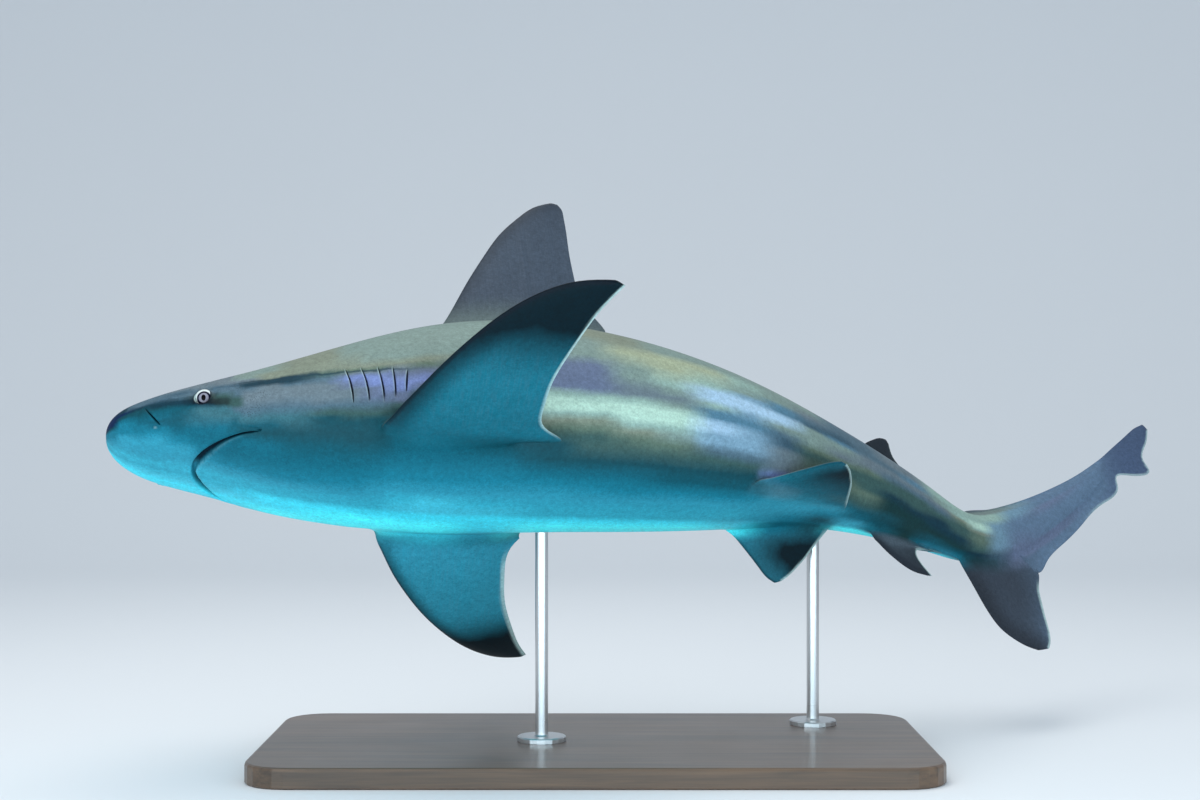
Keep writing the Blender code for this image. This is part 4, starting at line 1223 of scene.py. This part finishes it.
def skin_material(looks, gloss_group):
    """Countershaded shark skin with fine grain, marked along the body and on the fins."""
    made, tree, shader = new_material("shark skin")
    place = object_place(tree)
    marks = {name: mark(tree, name) for name in (*PLACE_MARKS, *SKIN_MARKS)}
    along, girth, dark = marks["along"], marks["girth"], marks["dark"]
    lie = node(tree, "ShaderNodeCombineXYZ", {0: times(tree, along, 1.8), 1: girth}).outputs[0]
    streaks = noise(tree, stretched(tree, lie, (3.0, 9.0, 1.0)), 3.0, 4.0, 0.55)
    mottle = noise(tree, place, 38.0, 4.0, 0.6)
    grain = noise(tree, place, 420.0, 3.0, 0.6)
    drift = times(tree, calc(tree, "SUBTRACT", streaks, 0.5), looks.band_drift)
    drift = swing(tree, mottle, 0.02, drift)
    height = calc(tree, "ADD", calc(tree, "MULTIPLY_ADD", girth, 0.5, 0.5), drift, clamp=True)

    body = body_color(tree, looks, swing(tree, mottle, 0.018, along), height, marks["side"])
    color = blend(tree, marks["onto_fin"], body, fin_color(tree, looks, marks, lie, mottle))
    rear_edge = times(tree, marks["pale_rear"], step(tree, marks["off_body"], 0.002, 0.010))
    color = blend(tree, rear_edge, color, looks.margin)
    color = blend(tree, 1.0, color, grain_tint(tree, place, grain, mottle), "MULTIPLY")
    # Paleness: painted highlight on the lower lip, the gill flaps' edges and the lids' rims, and the nostril
    # flaps painted paler.
    color = blend(tree, times(tree, marks["pale"], 0.75), color, looks.margin)
    # Darkness: painted shade in the mouth's gap, the slits, the furrows, round the lids and in the pits.
    color = blend(tree, times(tree, dark, 0.94), color, CREVICE_SHADE)
    pores = pores_mask(tree, marks, place, mottle)
    color = blend(tree, times(tree, pores, 0.65), color, PORE)
    tree.links.new(color, shader.inputs["Base Color"])

    rough = gloss(tree, gloss_group, place, looks.roughness, 0.16, 14.0)
    rough = calc(tree, "MAXIMUM", rough, times(tree, dark, 0.8))
    tree.links.new(rough, shader.inputs["Roughness"])
    relief = calc(tree, "MULTIPLY_ADD", grain, 0.6, times(tree, mottle, 0.8))
    relief = calc(tree, "SUBTRACT", relief, times(tree, pores, 0.9))
    bump = node(tree, "ShaderNodeBump", {"Height": relief, "Strength": looks.grain, "Distance": 0.0006})
    tree.links.new(bump.outputs[0], shader.inputs["Normal"])
    shader.inputs["Specular IOR Level"].default_value = 0.09
    return made


# --- the eyes ------------------------------------------------------------------------------------
PUPIL, EYE_RING = (0.001, 0.001, 0.002), (0.003, 0.005, 0.020)  # colours


def build_eye(name, hand, eyes):
    """An eyeball set behind the lids; its marks give each point's place on its front, in metres."""
    point, back, up, out = eye_frame(hand)
    centre = point - out * eyes.sink / TOTAL_LENGTH
    nudge = 0.002
    here = posed([centre, centre + back * nudge, centre + up * nudge, centre + out * nudge])
    axes = (here[1:] - here[0]) / (nudge * TOTAL_LENGTH)
    bpy.ops.object.select_all(action="DESELECT")
    bpy.ops.mesh.primitive_uv_sphere_add(segments=64, ring_count=40, radius=1.0, location=(0, 0, 0))
    made = bpy.context.active_object
    made.name = made.data.name = name
    bpy.ops.object.mode_set(mode="EDIT")
    bpy.ops.mesh.select_all(action="SELECT")
    bpy.ops.transform.resize(value=(eyes.radius, eyes.radius, eyes.depth))
    bpy.ops.object.mode_set(mode="OBJECT")
    local = places(made.data)
    for k, mark_name in enumerate(("eye_back", "eye_up")):
        write_mark(made.data, mark_name, local[:, k])
    made.data.vertices.foreach_set("co", (local @ axes + here[0]).ravel())
    if np.linalg.det(axes) < 0:
        made.data.flip_normals()
    made.data.update()
    made.data.shade_smooth()
    return made


def eye_material(eyes):
    """White of the eye, thin dark ring, silvery streaked iris and upright pupil, under a faint gloss."""
    made, tree, shader = new_material("shark eye")
    back = calc(tree, "SUBTRACT", mark(tree, "eye_back"), eyes.look_back)
    up = calc(tree, "ADD", mark(tree, "eye_up"), eyes.look_down)
    radius = span(tree, back, up)
    turn = {0: calc(tree, "ARCTAN2", up, back), 1: times(tree, radius, 90)}
    streaks = noise(tree, node(tree, "ShaderNodeCombineXYZ", turn).outputs[0], 7.0, 3.0, 0.6)
    iris = blend(tree, streaks, eyes.iris, [c * 0.55 for c in eyes.iris])
    wide = calc(tree, "DIVIDE", back, eyes.pupil_width / 2)
    tall = calc(tree, "DIVIDE", up, eyes.pupil_height / 2)
    color = blend(tree, fade(tree, span(tree, wide, tall), 0.90, 1.06), iris, PUPIL)
    iris_edge, ring_edge = eyes.iris_radius, eyes.ring_radius
    color = blend(tree, step(tree, radius, iris_edge - 0.0006, iris_edge + 0.0004), color, EYE_RING)
    color = blend(tree, step(tree, radius, ring_edge - 0.0003, ring_edge + 0.0005), color, eyes.white)
    tree.links.new(color, shader.inputs["Base Color"])
    shader.inputs["Roughness"].default_value = 0.25
    shader.inputs["Specular IOR Level"].default_value = 0.06
    shader.inputs["Coat Weight"].default_value = 0.02
    shader.inputs["Coat Roughness"].default_value = 0.03
    return made


# --- the stand -----------------------------------------------------------------------------------
def wood_material(stand, gloss_group):
    """Dark stained board with a straight grain under satin varnish."""
    made, tree, shader = new_material("stained board")
    place = object_place(tree)
    wander = noise(tree, stretched(tree, place, (1.2, 6.0, 6.0)), 2.0, 3.0)
    fine = noise(tree, stretched(tree, place, (2.2, 70.0, 70.0)), 3.0, 4.0, 0.6, 0.4)
    coarse = noise(tree, stretched(tree, place, (0.8, 14.0, 14.0)), 2.5, 3.0, 0.55, 1.2)
    figure = calc(tree, "MULTIPLY_ADD", fine, 0.45, times(tree, coarse, 0.55))
    figure = swing(tree, wander, 0.25, figure)
    dark, light = stand.stain_dark, stand.stain_light
    middle = [(a + b) / 2 for a, b in zip(dark, light)]
    color = ramp(tree, figure, [(0.30, dark), (0.48, middle), (0.66, light)], "LINEAR")
    tree.links.new(color, shader.inputs["Base Color"])
    tree.links.new(gloss(tree, gloss_group, place, 0.42, 0.10, 9.0), shader.inputs["Roughness"])
    bump = node(tree, "ShaderNodeBump", {"Height": fine, "Strength": 0.18, "Distance": 0.0004})
    tree.links.new(bump.outputs[0], shader.inputs["Normal"])
    shader.inputs["Coat Weight"].default_value = 0.35
    shader.inputs["Coat Roughness"].default_value = 0.22
    return made


def steel_material(stand, gloss_group):
    """Steel brushed round the rods."""
    made, tree, shader = new_material("brushed rod steel")
    place = object_place(tree)
    brushing = noise(tree, stretched(tree, place, (6.0, 6.0, 900.0)), 3.0, 3.0, 0.65)
    low = [c * 0.82 for c in stand.steel]
    tree.links.new(blend(tree, brushing, low, stand.steel), shader.inputs["Base Color"])
    shader.inputs["Metallic"].default_value = 1.0
    base = calc(tree, "MULTIPLY_ADD", brushing, 0.16, 0.22)
    tree.links.new(gloss(tree, gloss_group, place, base, 0.08, 20.0), shader.inputs["Roughness"])
    bump = node(tree, "ShaderNodeBump", {"Height": brushing, "Strength": 0.12, "Distance": 0.0002})
    tree.links.new(bump.outputs[0], shader.inputs["Normal"])
    return made


def finish(made, coating):
    """Gives an object one material."""
    made.data.materials.clear()
    made.data.materials.append(coating)


# --- settings ------------------------------------------------------------------------------------
def length(name, description, default, low=0.0, high=1.0):
    """A length in metres."""
    limits = {"min": low, "max": high, "precision": 5}
    return bpy.props.FloatProperty(
        name=name, description=description, default=default, unit="LENGTH", **limits
    )


def factor(name, description, default, low=0.0, high=1.0):
    """A share or a strength."""
    limits = {"min": low, "max": high, "precision": 3}
    return bpy.props.FloatProperty(
        name=name, description=description, default=default, subtype="FACTOR", **limits
    )


def power(name, description, default):
    """A light's power in watts."""
    return bpy.props.FloatProperty(
        name=name, description=description, default=default, min=0.0, unit="POWER"
    )


def color(name, description, default):
    """A colour in linear light."""
    return bpy.props.FloatVectorProperty(
        name=name, description=description, default=default, size=3, min=0.0, max=1.0, subtype="COLOR"
    )


class SharkSkinSettings(bpy.types.PropertyGroup):
    """Sizes of the skin's small forms and its colours."""

    mouth_opening: length("Mouth opening", "Widest gap between the lips", 0.0096)
    mouth_depth: length("Mouth depth", "How far the gap between the lips runs in", 0.0090)
    gill_width: length("Gill slit width", "Width of each gill slit at its middle", 0.0023)
    gill_flap: length("Gill flap height", "How far each flap's edge stands up", 0.0019)
    nostril_width: length("Nostril width", "Widest part of the nostril's slit", 0.0026)
    lid_radius: length("Lid radius", "Radius of the round opening of the lids", 0.0103)
    grain: factor("Skin grain", "Strength of the fine rough grain", 0.30)
    roughness: factor("Roughness", "How dull the skin is", 0.50)
    band_drift: factor("Band drift", "How far the bands' edges wander", 0.016)
    navy: color("Snout tip", "Dark navy of the snout's tip", (0.000, 0.014, 0.060))
    ink: color("Dark lines", "Blackish blue of the line over the gills", (0.004, 0.030, 0.048))
    # black is painted shadow under the eye; on the fins' front edges it is their own black line.
    black: color("Black", "Black under the eye and on the fins' front edges", (0.001, 0.005, 0.010))
    soot: color("Soot", "Smudge behind the eye", (0.014, 0.032, 0.032))
    # night is painted shadow under the pectorals and the tail stalk.
    night: color("Tail shadow", "Blackish green under the tail stalk", (0.004, 0.030, 0.033))
    # abyss to glow are partly painted light: the water's blue light on the white belly and lower flank; the
    # darkest of them are partly painted shade.
    abyss: color("Deep flank", "Darkest green of the lower flank", (0.004, 0.052, 0.070))
    deep: color("Lower flank", "Deep blue green of the lower flank", (0.003, 0.072, 0.102))
    teal: color("Cheek and side", "Blue green of the lower side", (0.004, 0.103, 0.150))
    sea: color("Side of the belly", "Lighter blue green above the belly", (0.008, 0.157, 0.227))
    surf: color("Belly edge", "Light blue green beside the belly", (0.027, 0.252, 0.347))
    aqua: color("Belly", "Pale blue green of the belly", (0.034, 0.348, 0.458))
    glow: color("Breast", "Paler blue green of the breast", (0.055, 0.450, 0.575))
    # foam and white paint the light from below on the belly's far side.
    foam: color("Foam", "Bright blue green of the belly's far side", (0.055, 0.640, 0.780))
    white: color("White belly", "Nearly white blue green of the belly's far side", (0.090, 0.930, 1.000))
    bottle: color("Bottle green", "Dull green over the lower flank", (0.034, 0.080, 0.076))
    fog: color("Foggy teal", "Grey teal under the eye and the gills", (0.034, 0.116, 0.142))
    back: color("Back", "Bronze grey of the back and of the fins' upper sides", (0.124, 0.172, 0.166))
    plum: color("Plum", "Near black mauve of the upright fins' tips and front edges", (0.020, 0.026, 0.036))
    moss: color("Moss", "Olive tan between the flank and the pale band", (0.088, 0.134, 0.103))
    olive: color("Olive", "Olive of the head and the back", (0.172, 0.204, 0.158))
    pale_olive: color("Pale olive", "Light olive of the rear back", (0.293, 0.338, 0.233))
    sage: color("Sage", "Grey green of the shoulders", (0.166, 0.236, 0.216))
    mint: color("Mint", "Light grey green beside the pale band", (0.235, 0.350, 0.310))
    cream: color("Pale band", "Cream green of the pale band", (0.370, 0.530, 0.445))
    # ice and frost are partly painted sheen.
    ice: color("Ice", "Pale lilac blue of the rear flank", (0.313, 0.460, 0.595))
    frost: color("Frost", "Blue grey beside the rear flank's stripe", (0.170, 0.290, 0.385))
    lavender: color("Lavender", "Lavender between the gill slits", (0.152, 0.204, 0.416))
    violet: color("Violet", "Violet grey of the stripe on the flank", (0.108, 0.140, 0.221))
    slate: color("Slate", "Slate grey of the snout's top and the tail stalk", (0.066, 0.118, 0.156))
    cheek: color("Cheek", "Warm grey of the cheek", (0.114, 0.154, 0.180))
    haze: color("Haze", "Blue grey along the top of the back", (0.072, 0.170, 0.245))
    pewter: color("Pewter", "Dark blue grey over the eye", (0.036, 0.078, 0.112))
    tail: color("Tail fin", "Lilac grey of the tail fin", (0.090, 0.146, 0.222))
    tail_light: color("Tail root", "Light blue grey at the tail fin's root", (0.130, 0.230, 0.305))
    tail_dark: color("Tail tip", "Dark blue violet of the tail fin's tip", (0.050, 0.080, 0.146))
    mauve: color("Dorsal fins", "Mauve grey of the dorsal and anal fins", (0.043, 0.062, 0.090))
    # fin_under is partly painted light: the water's blue light on the paired fins' undersides.
    fin_under: color("Paired fins", "Blue green under the paired fins", (0.007, 0.132, 0.186))
    dusk: color("Dusky marks", "Blackish green of the fins' tips", (0.000, 0.008, 0.013))
    margin: color("Fin margins", "Pale thin rear edges of the fins", (0.480, 0.640, 0.620))


class SharkEyeSettings(bpy.types.PropertyGroup):
    """Sizes and colours of the eyes."""

    radius: length("Eyeball radius", "Radius of the eyeball seen from the side", 0.0128)
    depth: length("Eyeball depth", "Half the eyeball's thickness", 0.0095)
    sink: length("Set back", "How far the eyeball's middle lies under the skin", 0.0078)
    iris_radius: length("Iris radius", "Radius of the silvery part of the iris", 0.0066)
    ring_radius: length("Ring radius", "Radius of the dark ring round the iris", 0.0093)
    pupil_width: length("Pupil width", "Width of the pupil", 0.0060)
    pupil_height: length("Pupil height", "Height of the pupil", 0.0086)
    look_back: length("Iris set back", "How far the iris sits behind the lids' middle", 0.0014, -0.01, 0.01)
    look_down: length("Iris set down", "How far the iris sits below the lids' middle", 0.0013, -0.01, 0.01)
    iris: color("Iris", "Silvery lavender of the iris", (0.290, 0.285, 0.350))
    white: color("White of the eye", "Pale ring round the iris", (0.60, 0.66, 0.66))


class SharkStandSettings(bpy.types.PropertyGroup):
    """Colours of the stand."""

    stain_dark: color("Dark grain", "Dark lines of the stained board", (0.030, 0.018, 0.011))
    stain_light: color("Light grain", "Light lines of the stained board", (0.120, 0.068, 0.036))
    steel: color("Steel", "Colour of the brushed steel rods", (0.60, 0.61, 0.62))


class SharkStudioSettings(bpy.types.PropertyGroup):
    """The floor, the lights and the camera."""

    floor: color("Floor", "Pale floor and backdrop", (0.72, 0.75, 0.78))
    sky: color("Surrounding light", "Soft light from all round", (0.80, 0.87, 0.94))
    sky_strength: factor("Surrounding strength", "Strength of the light from all round", 0.85, 0.0, 5.0)
    top_power: power("Top light", "Power of the broad light overhead", 46.0)
    front_power: power("Front light", "Power of the soft light beside the camera", 20.0)
    low_power: power("Low light", "Power of the cool light near the floor", 30.0)
    camera_distance: length("Camera distance", "From the camera to the stand's middle", 2.8182, 0.5, 20.0)
    camera_height: length("Camera height", "Height of the camera over the floor", 0.5004, 0.05, 5.0)
    camera_side: length("Camera offset", "How far the camera stands towards the tail", 0.006, -1.0, 1.0)
    lens: bpy.props.FloatProperty(
        name="Lens", description="Focal length on a 36 mm wide frame", default=60.56, min=10.0, unit="CAMERA"
    )


# --- operators -----------------------------------------------------------------------------------
class SHARK_OT_skin(bpy.types.Operator):
    """Builds one skin over the body, the jaw and all the fins"""

    bl_idname = "shark.skin"
    bl_label = "Shark Skin"

    def execute(self, context):
        looks = context.scene.shark_skin
        skin = build_skin(looks)
        skin.name = skin.data.name = "skin"
        finish(skin, skin_material(looks, gloss_group()))
        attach(skin, "root")
        flesh = [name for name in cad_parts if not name.startswith(("stand_", "eye_"))]
        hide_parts(*sorted(flesh))
        return {"FINISHED"}


class SHARK_OT_eyes(bpy.types.Operator):
    """Sets both eyes behind their lids"""

    bl_idname = "shark.eyes"
    bl_label = "Shark Eyes"

    def execute(self, context):
        eyes = context.scene.shark_eyes
        coating = eye_material(eyes)
        for side, hand in HANDS.items():
            made = build_eye(f"eyeball_{side}", hand, eyes)
            finish(made, coating)
            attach(made, "root")
            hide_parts(f"eye_{side}")
        return {"FINISHED"}


class SHARK_OT_stand(bpy.types.Operator):
    """Gives the stand's board and rods their finishes"""

    bl_idname = "shark.stand"
    bl_label = "Display Stand"

    def execute(self, context):
        stand = context.scene.shark_stand
        wood, steel = wood_material(stand, gloss_group()), steel_material(stand, gloss_group())
        for name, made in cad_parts.items():
            if name.startswith("stand_"):
                made.data.materials[0] = wood if name == "stand_base" else steel
        return {"FINISHED"}


class SHARK_OT_studio(bpy.types.Operator):
    """Lays the pale floor and sets the soft lights and the camera"""

    bl_idname = "shark.studio"
    bl_label = "Studio"

    def execute(self, context):
        studio = context.scene.shark_studio
        build_floor(studio)
        build_lights(studio)
        build_camera(studio)
        return {"FINISHED"}


def gloss_group():
    """The uneven gloss group, made once."""
    return bpy.data.node_groups.get("uneven gloss") or uneven_gloss()


# --- the studio ----------------------------------------------------------------------------------
def build_floor(studio):
    """A pale floor that sweeps up into a plain backdrop."""
    bpy.ops.object.select_all(action="DESELECT")
    bpy.ops.mesh.primitive_plane_add(size=1.0, location=(0, 0, 0))
    made = bpy.context.active_object
    made.name = made.data.name = "studio_floor"
    shape = bmesh.new()
    front, back, sweep, top, half_width = -9.0, 3.0, 2.2, 8.0, 12.0
    rows = [(front, 0.0), (back, 0.0)]  # places along Y and heights
    turns = np.linspace(0.08, math.pi / 2, 20)
    rows += [(back + sweep * math.sin(turn), sweep * (1 - math.cos(turn))) for turn in turns]
    rows.append((back + sweep, top))
    last = None
    for deep, high in rows:
        pair = [shape.verts.new((across, deep, high)) for across in (-half_width, half_width)]
        if last:
            shape.faces.new((last[0], last[1], pair[1], pair[0]))
        last = pair
    shape.to_mesh(made.data)
    shape.free()
    made.data.shade_smooth()
    coating, tree, shader = new_material("studio paper")
    soft = noise(tree, object_place(tree), 0.8, 2.0)
    shade = blend(tree, soft, [c * 0.98 for c in studio.floor], studio.floor)
    tree.links.new(shade, shader.inputs["Base Color"])
    shader.inputs["Roughness"].default_value = 0.9
    finish(made, coating)


def area_light(name, place, aim, size, power, tint):
    """A soft rectangular light pointed at a place."""
    lamp = bpy.data.lights.new(name, "AREA")
    lamp.shape = "RECTANGLE"
    lamp.size, lamp.size_y = size
    lamp.energy, lamp.color = power, tint
    made = bpy.data.objects.new(name, lamp)
    made.location = place
    made.rotation_euler = (Vector(aim) - Vector(place)).to_track_quat("-Z", "Y").to_euler()
    made.visible_camera = False
    bpy.context.scene.collection.objects.link(made)


def build_lights(studio):
    """A broad light overhead, a soft one beside the camera and a cool one near the floor."""
    area_light(
        "top light", (-0.3, 0.1, 2.9), (0.0, 0.0, 0.4), size=(3.4, 1.8),
        power=studio.top_power, tint=(1.0, 0.98, 0.93),
    )
    area_light(
        "front light", (-1.2, -3.2, 1.3), (0.0, 0.0, 0.45), size=(2.6, 1.8),
        power=studio.front_power, tint=(0.95, 0.98, 1.0),
    )
    area_light(
        "low light", (0.1, -1.25, 0.05), (0.1, 0.0, 0.42), size=(3.0, 0.7),
        power=studio.low_power, tint=(0.66, 0.88, 1.0),
    )
    world = bpy.context.scene.world or bpy.data.worlds.new("studio light")
    bpy.context.scene.world = world
    world.use_nodes = True
    light = world.node_tree.nodes.get("Background")
    light.inputs[0].default_value = (*studio.sky, 1)
    light.inputs[1].default_value = studio.sky_strength


def build_camera(studio):
    """The camera looks level along +Y, past the left side of the shark."""
    view = bpy.data.cameras.new("camera")
    view.lens, view.sensor_width = studio.lens, 36.0
    view.clip_start, view.clip_end = 0.05, 60.0
    made = bpy.data.objects.new("camera", view)
    made.location = (studio.camera_side, -studio.camera_distance, studio.camera_height)
    made.rotation_euler = (math.pi / 2, 0, 0)
    bpy.context.scene.collection.objects.link(made)
    bpy.context.scene.camera = made
    bpy.context.scene.view_settings.view_transform = "Standard"


# --- panel and registration ----------------------------------------------------------------------
SETTINGS = {
    "shark_skin": SharkSkinSettings,
    "shark_eyes": SharkEyeSettings,
    "shark_stand": SharkStandSettings,
    "shark_studio": SharkStudioSettings,
}
STEPS = (
    (SHARK_OT_skin, "shark_skin"),
    (SHARK_OT_eyes, "shark_eyes"),
    (SHARK_OT_stand, "shark_stand"),
    (SHARK_OT_studio, "shark_studio"),
)


class SHARK_PT_panel(bpy.types.Panel):
    """Lists the shark's pieces and their settings"""

    bl_idname = "SHARK_PT_panel"
    bl_label = "Sandbar Shark"
    bl_space_type = "VIEW_3D"
    bl_region_type = "UI"
    bl_category = "Shark"

    def draw(self, context):
        for operator, settings in STEPS:
            box = self.layout.box()
            box.operator(operator.bl_idname)
            group = getattr(context.scene, settings)
            for name in group.__annotations__:
                box.prop(group, name)


CLASSES = (*SETTINGS.values(), *(operator for operator, _ in STEPS), SHARK_PT_panel)


def register():
    for one in CLASSES:
        bpy.utils.register_class(one)
    for name, group in SETTINGS.items():
        setattr(bpy.types.Scene, name, bpy.props.PointerProperty(type=group))


def unregister():
    for name in SETTINGS:
        delattr(bpy.types.Scene, name)
    for one in reversed(CLASSES):
        bpy.utils.unregister_class(one)


def main():
    register()
    bpy.ops.shark.studio()
    bpy.ops.shark.skin()
    bpy.ops.shark.eyes()
    bpy.ops.shark.stand()


if __name__ == "__main__":
    main()
